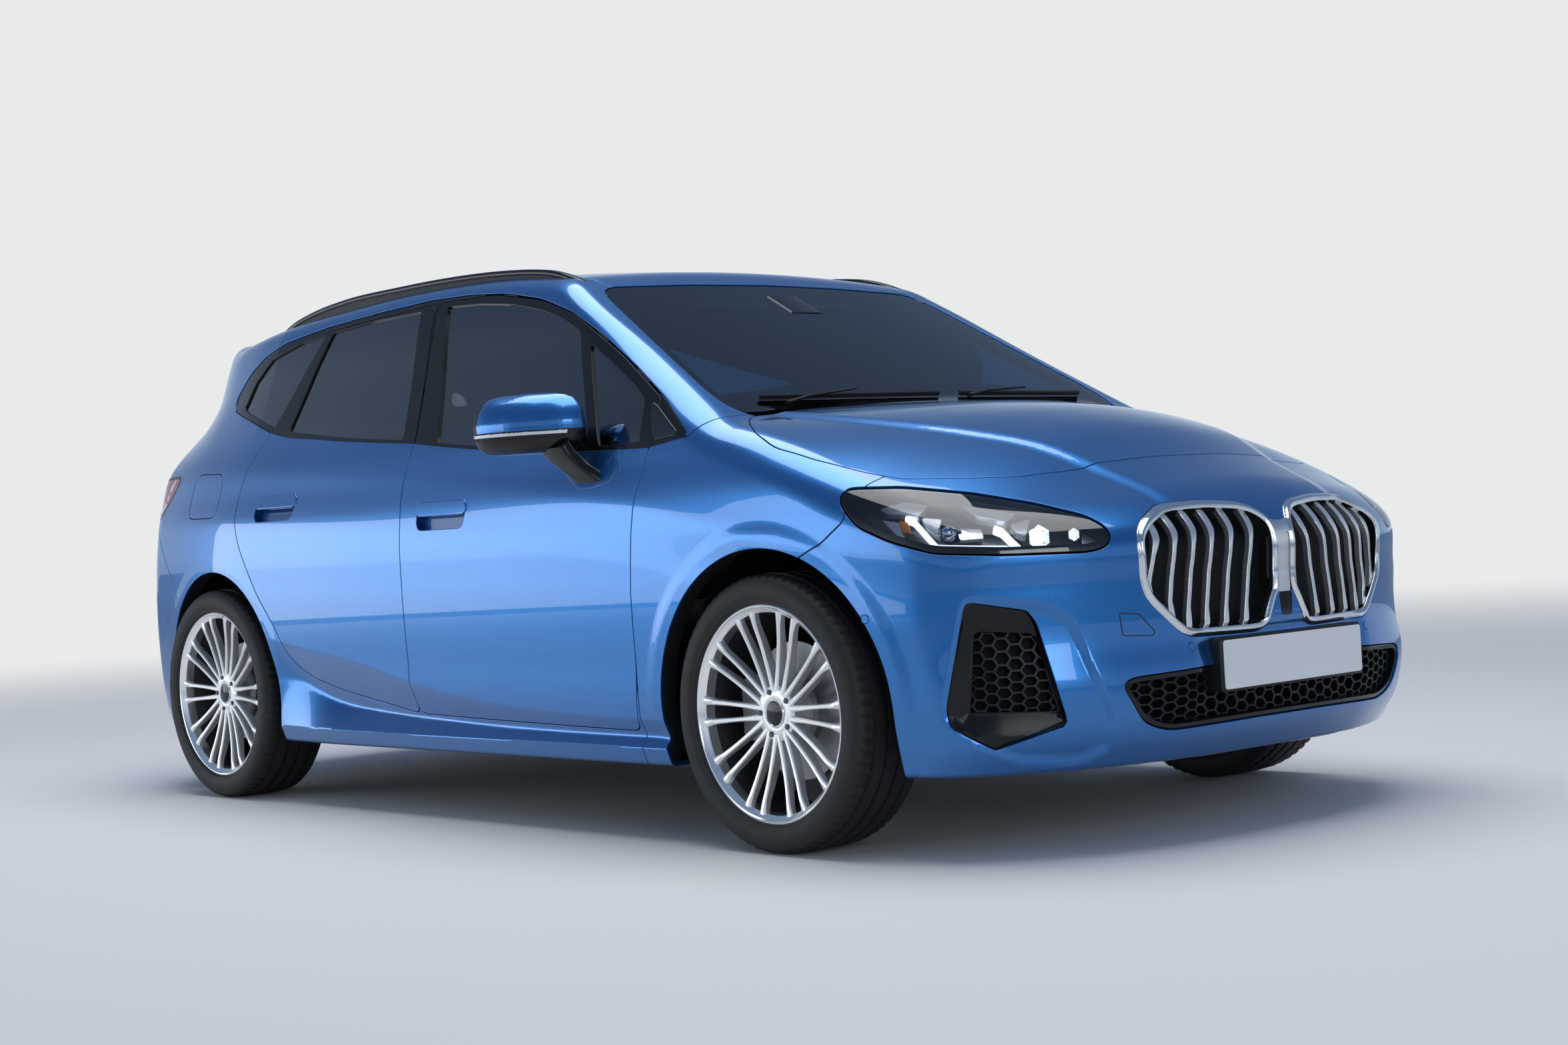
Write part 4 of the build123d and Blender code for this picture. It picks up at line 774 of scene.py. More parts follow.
# %% Side seams
GAP = 0.0025
HANDLES = {"front": (-0.001, 0.850), "rear": (-0.938, 0.906)}
HANDLE_SIZE = (0.248, 0.081)
B_LINE = [(-0.218, 1.045), (-0.226, 0.96), (-0.207, 0.83), (-0.207, 0.60), (-0.203, 0.43), (-0.213, 0.292)]
B_TOP = (-0.302, 1.474)
DOOR_NOSE = [(0.830, 0.275), (0.846, 0.44), (0.847, 0.62), (0.860, 0.775), (0.890, 0.985), (0.897, 1.104)]
A_EDGE = [(0.668, 1.240), (0.430, 1.365), (0.246, 1.425), (0.0, 1.466)]
REAR_EDGE = [(-0.790, 0.388), (-0.865, 0.430), (-0.940, 0.535), (-1.051, 0.655), (-1.150, 0.80),
             (-1.190, 0.885), (-1.194, 0.970), (-1.160, 1.065), (-1.101, 1.140), (-0.905, 1.447)]
FRONT_DOOR = soft(DOOR_NOSE + A_EDGE + [(B_TOP[0] + 0.006, B_TOP[1])] + B_LINE, 0.03)
REAR_DOOR = soft(REAR_EDGE + [(B_TOP[0] - 0.006, B_TOP[1])] + B_LINE + [(-0.622, 0.350)], 0.03)
DOORS = [(f"door_{place}_{side}", place, side, outline) for side in ("right", "left")
         for place, outline in (("front", FRONT_DOOR), ("rear", REAR_DOOR))]
BELT_POINTS = [(-1.223, 1.182), (-1.088, 1.142), (-0.755, 1.101), (-0.418, 1.073), (-0.233, 1.059),
               (-0.079, 1.042), (0.134, 1.021), (0.60, 0.990), (0.90, 0.982)]
BELT = curve((-1.6, 1.225), *BELT_POINTS, (1.1, 0.98))
FRONT_GLASS = soft([(0.637, 1.006), (0.584, 1.090), (0.505, 1.229), (0.465, 1.318), (0.366, 1.363),
                    (0.256, 1.397), (0.092, 1.430), (-0.068, 1.448), (-0.240, 1.457), (-0.173, 1.258),
                    (-0.104, 1.056), (0.129, 1.032), (0.426, 1.011)], 0.008)
QUARTER_LIGHT = soft([(0.676, 1.001), (0.625, 1.087), (0.569, 1.184), (0.520, 1.284), (0.661, 1.209),
                      (0.771, 1.148), (0.822, 1.112), (0.848, 1.000)], 0.008)
REAR_GLASS = soft([(-0.290, 1.074), (-0.334, 1.271), (-0.378, 1.457), (-0.644, 1.454), (-0.871, 1.440),
                   (-0.925, 1.312), (-0.985, 1.142), (-0.605, 1.099)], 0.008)
QUARTER_GLASS = soft([(-1.080, 1.158), (-0.985, 1.293), (-0.912, 1.433), (-1.057, 1.425), (-1.228, 1.386),
                      (-1.315, 1.319), (-1.358, 1.236)], 0.010)
SAIL = soft([(0.852, 1.109), (0.902, 1.004), (1.000, 1.012)], 0.006)
WINDOW_LINE = soft([(1.040, 1.008), (0.90, 1.106), (0.751, 1.195), (0.567, 1.298), (0.407, 1.375),
                    (0.242, 1.427), (0.052, 1.462), (-0.136, 1.478), (-0.340, 1.484), (-0.626, 1.475),
                    (-0.919, 1.459), (-1.152, 1.433), (-1.285, 1.399), (-1.381, 1.349), (-1.454, 1.280),
                    (-1.440, 1.237)] + BELT_POINTS, 0.02)
WING_AREA = [(0.840, 0.10)] + DOOR_NOSE[1:5] + [(1.040, 1.004), (1.125, 1.075), (2.4, 1.2), (2.4, 0.1)]
WING_SEAM = [(1.430, 0.10), (1.430, 0.66), (1.465, 0.694), (1.540, 0.727), (1.605, 0.772), (1.64, 0.90),
             (2.5, 0.90), (2.5, 0.1)]
REAR_SEAM = [(-1.582, 0.10), (-1.582, 0.53), (-1.620, 0.600), (-1.700, 0.715), (-1.800, 0.830),
             (-1.840, 0.905), (-2.4, 0.905), (-2.4, 0.1)]
FUEL_FLAP = soft([(-1.332, 0.890), (-1.332, 1.030), (-1.558, 1.036), (-1.558, 0.893)], 0.045)
TAIL_LAMP = soft([(-1.704, 1.038), (-1.702, 1.008), (-1.818, 0.900), (-2.3, 0.890), (-2.3, 1.030)], 0.025)


def below_belt(grow=0.0):
    return lambda p: BELT(p[:, 0]) - p[:, 2] + grow


# %% Plan, front and corner seams
BONNET_SIDE = [(1.106, 0.700), (1.160, 0.752), (1.234, 0.800), (1.331, 0.826), (1.463, 0.812), (1.598, 0.770),
               (1.680, 0.735), (1.771, 0.640), (1.837, 0.529), (1.874, 0.395), (1.895, 0.236), (1.908, 0.0)]
BONNET = soft(BONNET_SIDE + [(1.908, -0.3), (1.17, -0.3), (1.170, 0.0), (1.160, 0.30), (1.130, 0.52)], 0.03)
COWL = soft([(1.19, -0.3), (1.19, 0.30), (1.150, 0.52), (1.120, 0.68), (1.050, 0.715), (1.02, 0.66),
             (1.075, 0.45), (1.100, 0.0), (1.100, -0.3)], 0.02)
SCREEN = soft([(-0.6, 1.462), (0.0, 1.462), (0.300, 1.457), (0.560, 1.446), (0.608, 1.425), (0.660, 1.280),
               (0.718, 1.110), (0.712, 1.060), (0.0, 1.058), (-0.6, 1.058)], 0.035)
ROOF = soft([(0.445, -0.3), (0.445, 0.0), (0.428, 0.30), (0.385, 0.565), (0.20, 0.585), (-0.35, 0.590),
             (-1.25, 0.580), (-1.690, 0.555), (-1.692, -0.3)], 0.03)
TAILGATE = soft([(-0.3, 0.640), (0.515, 0.640), (0.615, 0.860), (0.640, 1.030), (0.600, 1.200),
                 (0.560, 1.400), (0.555, 1.62), (-0.3, 1.62)], 0.05)
REAR_SCREEN = soft([(-0.3, 1.085), (0.560, 1.085), (0.530, 1.240), (0.470, 1.335), (-0.3, 1.350)], 0.04)
HEADLAMP = soft([(-0.722, 0.816), (-0.735, 0.840), (-0.764, 0.849), (-0.929, 0.845), (-1.152, 0.822),
                 (-1.348, 0.791), (-1.504, 0.757), (-1.562, 0.731), (-1.578, 0.707), (-1.561, 0.686),
                 (-1.505, 0.677), (-1.235, 0.681), (-1.017, 0.692), (-0.883, 0.722), (-0.772, 0.762)], 0.03)
GRILLE_BAY = soft([(0.024, 0.715), (0.050, 0.748), (0.090, 0.768), (0.204, 0.778), (0.332, 0.775),
                   (0.420, 0.738), (0.456, 0.700), (0.450, 0.600), (0.435, 0.560), (0.350, 0.480),
                   (0.320, 0.471), (0.095, 0.468), (0.070, 0.480), (0.040, 0.540), (0.024, 0.560)], 0.034)
CENTRE_BAR = soft([(-0.1, 0.553), (0.0235, 0.553), (0.0235, 0.700), (-0.1, 0.700)], 0.004)
AIR_CURTAIN = soft([(-1.106, 0.573), (-1.122, 0.578), (-1.298, 0.554), (-1.325, 0.529), (-1.408, 0.300),
                    (-1.179, 0.253), (-1.042, 0.308), (-1.033, 0.348)], 0.012)
INTAKE_EDGE = [(0.30, 0.403), (0.500, 0.394), (0.525, 0.378), (0.470, 0.290), (0.400, 0.266), (0.14, 0.272)]
LOWER_INTAKE = soft([(-0.3, 0.402)] + INTAKE_EDGE + [(-0.3, 0.273)], 0.03)


def corner_view(outline, grow=0.0):
    return lambda p: within(outline, np.abs(p[:, 1]) - p[:, 0], p[:, 2]) / sqrt(2) + grow


def ahead_of(x):
    return beyond(0, x)


FRONT_ARCH, REAR_ARCH = outside_arch(FRONT_AXLE, 0.392), outside_arch(REAR_AXLE, 0.388)
print("seams ready")

# %% [markdown]
# ## Body panels
# Each panel takes the place of the plain solid with the same name. Doors and lids are closed
# shells, because their inner side shows when they are open.

# %% Side frames, roof, wings and doors
def cut_out(view, outline):
    return not_in(view(outline, GAP))


screen_foot = lambda p: WINDSCREEN_FOOT[0] + 0.005 - windscreen_sag(np.abs(p[:, 1]))
in_screen = lambda p: np.min([within(SCREEN, np.abs(p[:, 1]), p[:, 2]), p[:, 0] - 0.30,
                              screen_foot(p) - p[:, 0]], axis=0)
in_tailgate = lambda p: np.minimum(within(TAILGATE, np.abs(p[:, 1]), p[:, 2]), -1.690 - p[:, 0])
in_lamp = lambda p: np.minimum(within(TAIL_LAMP, p[:, 0], p[:, 2]), np.abs(p[:, 1]) - 0.40)
in_roof = lambda p: np.minimum(within(ROOF, p[:, 0], np.abs(p[:, 1])), p[:, 2] - 1.25)


ARCH_LIP = 0.014
ROOF_REAR_EDGE = -1.676


def grown(field, amount=GAP):
    return lambda p: field(p) + amount


def handle_outline(place, bar=False):
    """The outline of a door handle's pocket, or of the bar across its upper half."""
    x, z = HANDLES[place]
    half, height = HANDLE_SIZE[0] / 2, HANDLE_SIZE[1]
    if bar:
        return soft([(x - half + 0.004, z + 0.002), (x - half + 0.004, z + height / 2 - 0.004),
                     (x + half - 0.004, z + height / 2 - 0.004), (x + half - 0.004, z + 0.002)], 0.012)
    return soft([(x - half, z - height / 2), (x - half, z + height / 2), (x + half, z + height / 2),
                 (x + half - 0.012, z - height / 2)], 0.025)


side_frame = panel("side_frames", paint, cut_out(side_view, FRONT_DOOR), cut_out(side_view, REAR_DOOR),
                   cut_out(side_view, WING_AREA), cut_out(side_view, REAR_SEAM),
                   cut_out(side_view, WINDOW_LINE), cut_out(side_view, FUEL_FLAP), not_in(grown(in_roof)),
                   not_in(grown(in_screen)),
                   not_in(lambda p: np.minimum(within(COWL, p[:, 0], np.abs(p[:, 1])), p[:, 2] - 0.9)),
                   not_in(grown(in_tailgate)), not_in(grown(in_lamp)), REAR_ARCH, beyond(2, SILL + 0.002),
                   depth=0.016, stands_for=["side_frames"])
roof = panel("roof_skin", paint, grown(in_roof, -GAP), not_in(grown(in_screen)), beyond(0, ROOF_REAR_EDGE),
             depth=0.012, stands_for=["roof_panel"])
panel("wings", paint, side_view(WING_AREA, -GAP), cut_out(side_view, WING_SEAM),
      cut_out(plan_view, BONNET), cut_out(corner_view, HEADLAMP), FRONT_ARCH, not_in(grown(in_screen)),
      cut_out(plan_view, COWL), beyond(1, -0.60, -1), depth=0.012, stands_for=["front_wings"])
for place, arch in (("front", FRONT_ARCH), ("rear", REAR_ARCH)):
    panel(f"arch_lip_{place}", matt_black, arch, lambda p, arch=arch: ARCH_LIP - arch(p),
          beyond(2, SILL + 0.006), beyond(1, -0.70, -1), depth=0.045, offset=0.005)
for door, place, side, outline in DOORS:
    pocket = handle_outline(place)
    panel(f"{door}_skin", paint, side_view(outline, -GAP), below_belt(), not_in(side_view(WINDOW_LINE)),
          not_in(side_view(pocket)), depth=0.030, back=True, sides=side, rides=door, stands_for=[door])
    # The handle pocket is in the darker copy of the paint: painted shade in the recess.
    panel(f"{door}_handle_pocket", shade_darkened_paint, side_view(pocket, -0.0006), depth=-0.024, offset=0.025,
          radius=0.004, sides=side, rides=door)
    panel(f"{door}_handle", paint, side_view(handle_outline(place, True)), depth=0.012, radius=0.004,
          offset=-0.004, back=True, sides=side, rides=door)
panel("fuel_flap_skin", paint, side_view(FUEL_FLAP, -GAP), depth=0.01, back=True, sides="right",
      rides="fuel_flap", stands_for=["fuel_flap"])
print("side panels:", len(side_frame.data.polygons), "faces in the side frames")

# %% Bonnet, bumpers and tailgate
bonnet = panel("bonnet_skin", paint, plan_view(BONNET, -GAP), beyond(2, 0.78), not_in(grown(in_screen)),
               depth=0.02, back=True, rides="bonnet", stands_for=["bonnet"])
panel("front_bumper_skin", paint, side_view(WING_SEAM, -GAP), cut_out(plan_view, BONNET),
      cut_out(corner_view, HEADLAMP), cut_out(front_view, GRILLE_BAY), cut_out(corner_view, AIR_CURTAIN),
      cut_out(front_view, LOWER_INTAKE), cut_out(front_view, CENTRE_BAR), FRONT_ARCH,
      ahead_of(1.40), depth=0.014, stands_for=["front_bumper"])
panel("rear_bumper_skin", paint, side_view(REAR_SEAM, -GAP), not_in(grown(in_tailgate)), REAR_ARCH,
      not_in(grown(in_lamp)), depth=0.014, stands_for=["rear_bumper"])
panel("tailgate_skin", paint, grown(in_tailgate, -GAP), not_in(grown(in_lamp)),
      not_in(front_view(REAR_SCREEN)), depth=0.03, back=True, rides="tailgate", stands_for=["tailgate"])
print("front and rear panels ready")

# %% [markdown]
# ## Windows
# The window band is one flush black area: thin door frames, a divider with a small front pane, the
# cover on the centre pillar, and the surround of the rear quarter pane. The panes lie just under it.

# %% Door frames, surrounds and rebates
def band(view, outline, half_width):
    return lambda p: half_width - np.abs(view(outline)(p))


above_belt = lambda p: p[:, 2] - BELT(p[:, 0])
PANES = {"front": (FRONT_GLASS, QUARTER_LIGHT), "rear": (REAR_GLASS,)}
for door, place, side, outline in DOORS:
    holes = [not_in(side_view(shape)) for shape in PANES[place]]
    panel(f"{door}_frame", gloss_black, side_view(outline, -GAP), above_belt, *holes, depth=0.028, back=True,
          offset=0.003, sides=side, rides=door)
    glass = window_glass if place == "front" else privacy_glass
    pane = either(*(side_view(shape, 0.012) for shape in PANES[place]))
    panel(f"{door}_glass", glass, pane, depth=0, offset=0.009, sides=side, rides=door,
          stands_for=[f"door_glass_{place}_{side}"])
panel("window_surround", gloss_black, side_view(WINDOW_LINE, -0.001), cut_out(side_view, FRONT_DOOR),
      cut_out(side_view, REAR_DOOR), not_in(side_view(QUARTER_GLASS)), offset=0.003, depth=0.03)
panel("window_sail", screen_black, side_view(SAIL), offset=0.001, depth=0.004)
panel("quarter_glass", privacy_glass, side_view(QUARTER_GLASS, 0.012), depth=0, offset=0.009)
# The door rebates are in the darker copy of the paint: painted shade in the openings behind the doors.
panel("door_rebates", shade_darkened_paint, not_in(side_view(FRONT_DOOR, -0.045)),
      not_in(side_view(REAR_DOOR, -0.045)), not_in(side_view(QUARTER_GLASS)), side_view(
          soft([(0.93, 0.215), (0.93, 1.16), (0.40, 1.42), (0.0, 1.49), (-0.5, 1.50), (-1.1, 1.46),
                (-1.45, 1.30), (-1.45, 1.1), (-1.28, 0.9), (-0.90, 0.36), (-0.80, 0.215)], 0.03)),
      not_in(grown(in_roof, 0.0)), FRONT_ARCH, REAR_ARCH, offset=0.036, depth=0.02, back=True,
      source=inner_mesh)

# %% Windscreen, tailgate glass and cowl
in_rear_screen = lambda p: np.minimum(within(REAR_SCREEN, np.abs(p[:, 1]), p[:, 2]), -1.7 - p[:, 0])
panel("windscreen", screen_glass, in_screen, depth=0, offset=0.003, stands_for=["fixed_glass"])
panel("windscreen_edge", gloss_black, in_screen, not_in(grown(in_screen, -0.022)), depth=0, offset=0.0035)
panel("tailgate_glass_pane", privacy_glass, grown(in_rear_screen, 0.012), depth=0, offset=0.006,
      rides="tailgate", stands_for=["tailgate_glass"])
panel("cowl_cover", satin_black, plan_view(COWL, 0.01), beyond(2, 0.95), offset=0.016, depth=0.02)
# A matt black sheet behind the seams: painted shade that shows through the gaps.
panel("seam_painted_shade", matt_black,
      either(lambda p: np.minimum(band(plan_view, BONNET, 0.03)(p), p[:, 2] - 0.70),
             band(side_view, WING_SEAM, 0.03), band(side_view, REAR_SEAM, 0.03),
             band(side_view, FUEL_FLAP, 0.02), lambda p: 0.03 - np.abs(in_lamp(p)),
             lambda p: 0.02 - np.abs(in_roof(p)), lambda p: 0.02 - np.abs(in_screen(p)),
             lambda p: 0.03 - np.abs(in_tailgate(p))), FRONT_ARCH, REAR_ARCH,
      not_in(corner_view(HEADLAMP, 0.005)), not_in(front_view(GRILLE_BAY)), offset=0.032, depth=0,
      source=inner_mesh)
print("window band ready")

# %% [markdown]
# ## The face
# The two tall grilles have a bright ring each and six bright slats that narrow in the middle. A
# satin bar with the camera under it parts them. The lamps are deep housings under clear lenses.

# %% Grilles
RING = 0.016
in_bay = front_view(GRILLE_BAY, -0.001)
ring_lines = [lambda p, share=share: in_bay(p) - share * RING for share in (0.0, 0.25, 0.5, 0.75, 1.0)]
nose_mesh = right_half((1.95, -0.50, 0.44), (2.22, 0.03, 0.81), (0.006 * COARSE,) * 3, *ring_lines)


def ring_profile(points):
    """The ring stands proud, highest along its middle."""
    part = np.clip(in_bay(points) / RING, 0, 1)
    return 0.006 * np.sin(pi * part)


panel("grille_rings", chrome, in_bay, lambda p: RING - in_bay(p), depth=0.02,
      radius=0.003, offset=-0.001, raised=ring_profile, source=nose_mesh, stands_for=["grille"])
panel("grille_tubs", matt_black, in_bay, depth=-0.05, offset=0.055, source=inner_mesh)
SLAT_TOPS = (0.089, 0.159, 0.222, 0.278, 0.334, 0.387)
SLAT_FEET = (0.139, 0.206, 0.266, 0.321, 0.363, 0.410)
for index, (top, foot) in enumerate(zip(SLAT_TOPS, SLAT_FEET)):
    high = 0.762 if index < 5 else 0.745
    low = (0.480, 0.480, 0.480, 0.482, 0.500, 0.540)[index]
    stations = [(high, 0.008), (high - 0.048, 0.0075), (high - 0.085, 0.004), (low + 0.055, 0.004),
                (low + 0.030, 0.0065), (low, 0.0065)]
    middle_line = curve((low - 0.01, foot), (0.58, top + 0.036), (0.66, top + 0.023), (0.70, top + 0.010),
                        (high + 0.01, top))
    outline = [(float(middle_line(z)) + w, z) for z, w in stations]
    outline += [(float(middle_line(z)) - w, z) for z, w in reversed(stations)]
    panel(f"grille_slat_{index + 1}", satin_silver, front_view(outline), in_bay, depth=0.014, radius=0.002,
          offset=0.009, source=nose_mesh)
panel("grille_centre_bar", satin_silver, front_view(CENTRE_BAR, -0.001), depth=0.03, offset=0.003,
      source=nose_mesh)
panel("grille_centre_crest", chrome, front_view(soft([(-0.1, 0.694), (0.032, 0.694), (0.032, 0.722),
      (-0.1, 0.706)], 0.003)), depth=0.02, radius=0.003, offset=-0.002, source=nose_mesh)
panel("grille_camera_pod", gloss_black, front_view(soft([(-0.1, 0.500), (0.018, 0.500), (0.024, 0.552),
      (-0.1, 0.552)], 0.006)), depth=0.01, offset=-0.001, source=nose_mesh)


# %% Honeycomb, for the intakes
HEXAGON = ((0.5, 0), (0.25, 0.5), (-0.25, 0.5), (-0.5, 0), (-0.25, -0.5), (0.25, -0.5))
WALL_SHARE = 0.16


def nearest_inside(outline, u, v):
    """Points outside an outline are moved to its nearest edge."""
    best = np.full(u.shape, 1e9)
    near_u, near_v = u.copy(), v.copy()
    for (ax, ay), (bx, by) in zip(outline, outline[1:] + outline[:1]):
        ex, ey = bx - ax, by - ay
        t = np.clip(((u - ax) * ex + (v - ay) * ey) / max(ex * ex + ey * ey, 1e-12), 0, 1)
        d = np.hypot(u - ax - t * ex, v - ay - t * ey)
        closer = d < best
        best = np.where(closer, d, best)
        near_u, near_v = np.where(closer, ax + t * ex, near_u), np.where(closer, ay + t * ey, near_v)
    outside = within(outline, u, v) < 0
    return np.where(outside, near_u, u), np.where(outside, near_v, v)


def honeycomb(name, outline, project, cell, offset, depth):
    """A sheet of six-sided tubes that follows the skin inside an outline."""
    width, height = cell
    us, vs = zip(*outline)
    u, v = [], []
    for column in range(int((max(us) - min(us)) / (0.75 * width)) + 2):
        for row in range(int((max(vs) - min(vs)) / height) + 2):
            cu = min(us) + column * 0.75 * width
            cv = min(vs) + (row + 0.5 * (column % 2)) * height
            if within(outline, np.array([cu]), np.array([cv]))[0] > -0.3 * height:
                for scale in (1.0, 1.0 - WALL_SHARE):
                    u += [cu + a * width * scale for a, _ in HEXAGON]
                    v += [cv + b * height * scale for _, b in HEXAGON]
    u, v = nearest_inside(outline, np.array(u), np.array(v))
    points, normals = project(u, v)
    front, back = points - offset * normals, points - (offset + depth) * normals
    faces = []
    for start in range(0, len(u), 12):
        for k in range(6):
            a, b = start + k, start + (k + 1) % 6
            faces.append((a, b, b + 6, a + 6))
            faces.append((a + 6, b + 6, b + 6 + len(u), a + 6 + len(u)))
    points = np.concatenate([front, back])
    make_object(name, points, faces, satin_black).data.shade_flat()
    left_faces = [face[::-1] for face in faces]
    make_object(f"{name}_left", points * (1, -1, 1), left_faces, satin_black).data.shade_flat()


# %% Lower intake, air curtains, plates
INTAKE_HALF = soft([(0.0, 0.402)] + INTAKE_EDGE + [(0.0, 0.273)], 0.02)
honeycomb("lower_mesh", INTAKE_HALF, from_front, (0.044, 0.024), offset=0.018, depth=0.022)
panel("lower_intake_tub", matt_black, front_view(LOWER_INTAKE), depth=-0.05, offset=0.06, source=inner_mesh,
      stands_for=["lower_grilles"])
panel("lower_intake_edge", gloss_black, front_view(LOWER_INTAKE, -GAP),
      lambda p: 0.010 - front_view(LOWER_INTAKE)(p), depth=0.03, offset=0.004)
CURTAIN_MESH = soft([(-1.125, 0.512), (-1.149, 0.517), (-1.318, 0.507), (-1.334, 0.498), (-1.394, 0.322),
                     (-1.088, 0.330)], 0.008)
CURTAIN_BEVEL = 0.045
curtain_black = surface("curtain_black", (0.006, 0.006, 0.007), rough=0.28, specular=0.3)
curtain_mesh = right_half((1.82, -0.86, 0.22), (2.10, -0.60, 0.62), (0.007 * COARSE,) * 3)


def curtain_bevel(points):
    """The frame slopes in from the bumper to the mesh."""
    away = -within(CURTAIN_MESH, np.abs(points[:, 1]) - points[:, 0], points[:, 2])
    return -0.022 * np.clip(1 - away / CURTAIN_BEVEL, 0, 1)


honeycomb("curtain_mesh", CURTAIN_MESH, from_corner, (0.058, 0.027), offset=0.034, depth=0.02)
panel("air_curtain", curtain_black, corner_view(AIR_CURTAIN, -GAP), not_in(corner_view(CURTAIN_MESH)),
      depth=0.03, offset=0.008, radius=0.003, raised=curtain_bevel, source=curtain_mesh)
panel("air_curtain_tub", matt_black, corner_view(AIR_CURTAIN, -0.004), depth=-0.045, offset=0.06,
      source=inner_mesh)
print("grilles and intakes ready")

# %% Headlamps
lamp_mesh = right_half((1.55, -0.90, 0.65), (2.12, -0.46, 0.87), (0.006 * COARSE,) * 3)
in_lamp_glass = corner_view(HEADLAMP, -GAP)


def strip(points, width):
    """An outline of even width along a line."""
    line = [Vector(p) for p in points]
    left, right = [], []
    for i, p in enumerate(line):
        before = (p - line[i - 1]).normalized() if i else (line[1] - p).normalized()
        after = (line[i + 1] - p).normalized() if i < len(line) - 1 else before
        along = (before + after).normalized()
        side = Vector((-along.y, along.x)) * (width / 2) / max(along.dot(before), 0.5)
        left.append(tuple(p + side))
        right.append(tuple(p - side))
    return left + right[::-1]


LAMP_DARK = surface("lamp_dark", (0.055, 0.060, 0.070), rough=0.3, coat=0.3)
panel("headlamp_housing", LAMP_DARK, in_lamp_glass, depth=-0.052, offset=0.056, stands_for=["headlamps"])
panel("headlamp_edge", gloss_black, in_lamp_glass, lambda p: 0.010 - in_lamp_glass(p), depth=0.02,
      offset=0.002, source=lamp_mesh)
panel("headlamp_lens", lens_glass, in_lamp_glass, depth=0, offset=0.001, source=lamp_mesh)
GUIDE_LINES = ([(-0.930, 0.787), (-0.955, 0.780), (-1.024, 0.711), (-1.256, 0.702)],
               [(-1.215, 0.757), (-1.240, 0.748), (-1.297, 0.696), (-1.474, 0.688)])
LAMP_PIECES = {
    "guide_1": (lamp_light, 0.020, 0.012, strip(GUIDE_LINES[0], 0.014)),
    "guide_2": (lamp_light, 0.020, 0.012, strip(GUIDE_LINES[1], 0.013)),
    "shelf_1": (lamp_silver, 0.014, 0.02, [(-0.850, 0.806), (-0.937, 0.822), (-1.010, 0.812),
                                           (-0.975, 0.788), (-0.930, 0.793), (-0.870, 0.796)]),
    "shelf_2": (lamp_silver, 0.014, 0.02, [(-1.110, 0.812), (-1.170, 0.806), (-1.293, 0.786),
                                           (-1.253, 0.765), (-1.160, 0.782)]),
    "wing_1": (lamp_silver, 0.020, 0.02, [(-0.985, 0.786), (-1.050, 0.782), (-1.030, 0.742),
                                          (-0.998, 0.762)]),
    "wing_2": (lamp_silver, 0.020, 0.02, [(-1.268, 0.764), (-1.330, 0.772), (-1.313, 0.734),
                                          (-1.284, 0.746)]),
    "reflector": (chrome, 0.034, 0.01, [(-1.100, 0.770), (-1.176, 0.766), (-1.182, 0.744), (-1.102, 0.738)]),
    "tip": (satin_silver, 0.030, 0.01, [(-1.500, 0.745), (-1.556, 0.722), (-1.552, 0.694), (-1.500, 0.700)]),
    "floor": (satin_silver, 0.03, 0.02, [(-0.93, 0.720), (-1.02, 0.700), (-1.25, 0.693), (-1.50, 0.680),
                                         (-1.50, 0.684), (-1.28, 0.690), (-1.03, 0.706)]),
    "turn_light": (amber, 0.024, 0.01, [(-0.905, 0.782), (-0.932, 0.779), (-0.936, 0.752), (-0.909, 0.753)]),
    "side_fins": (lamp_silver, 0.028, 0.01, [(-0.845, 0.784), (-0.900, 0.779), (-0.905, 0.724)]),
}
for name, (material, offset, depth, outline) in LAMP_PIECES.items():
    panel(f"headlamp_{name}", material, corner_view(outline), in_lamp_glass, depth=depth, offset=offset,
          source=lamp_mesh)


def lamp_unit(name, s, z, size, depth, glow):
    """A six-sided bright bezel with a glass ball lens in it, facing ahead."""
    spot, normal = from_corner([s], [z])
    centre = Vector(spot[0] - depth * normal[0])
    for side, sign in (("right", 1), ("left", -1)):
        place = Matrix.Translation((centre.x, sign * centre.y, centre.z))
        turn = Vector((0.93, -0.36 * sign, 0.02)).to_track_quat("Z", "Y").to_matrix().to_4x4()
        bezel = bmesh.new()
        bmesh.ops.create_cone(bezel, segments=6, radius1=size * 0.7, radius2=size, depth=size * 1.3)
        bmesh.ops.delete(bezel, geom=[f for f in bezel.faces if len(f.verts) == 6], context="FACES")
        ball = bmesh.new()
        bmesh.ops.create_uvsphere(ball, u_segments=24, v_segments=16, radius=size * 0.72)
        for part, work, material in (("bezel", bezel, chrome), ("ball", ball, glow)):
            mesh = bpy.data.meshes.new(name)
            work.to_mesh(mesh)
            work.free()
            mesh.materials.append(material)
            if part == "ball":
                mesh.shade_smooth()
            piece = bpy.data.objects.new(f"{name}_{part}_{side}", mesh)
            piece.matrix_world = place @ turn
            bpy.context.scene.collection.objects.link(piece)
            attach(piece, "body_shell")


lamp_eye = surface("lamp_eye", (0.30, 0.34, 0.42), rough=0.05, metal=0.8, coat=1.0)
lamp_lit = surface("lamp_lit", (0.8, 0.85, 0.9), rough=0.1, coat=1.0, emission=(0.85, 0.93, 1.0, 1.0))
lamp_unit("headlamp_unit_1", -1.064, 0.757, 0.030, 0.036, lamp_eye)
lamp_unit("headlamp_unit_2", -1.349, 0.741, 0.028, 0.036, lamp_lit)
lamp_unit("headlamp_unit_3", -1.465, 0.738, 0.015, 0.030, lamp_lit)
print("headlamps ready")

# %% [markdown]
# ## Fittings outside
# Mirrors, rails, tail lamps, number plates, wipers and the small parts let into the bumpers.

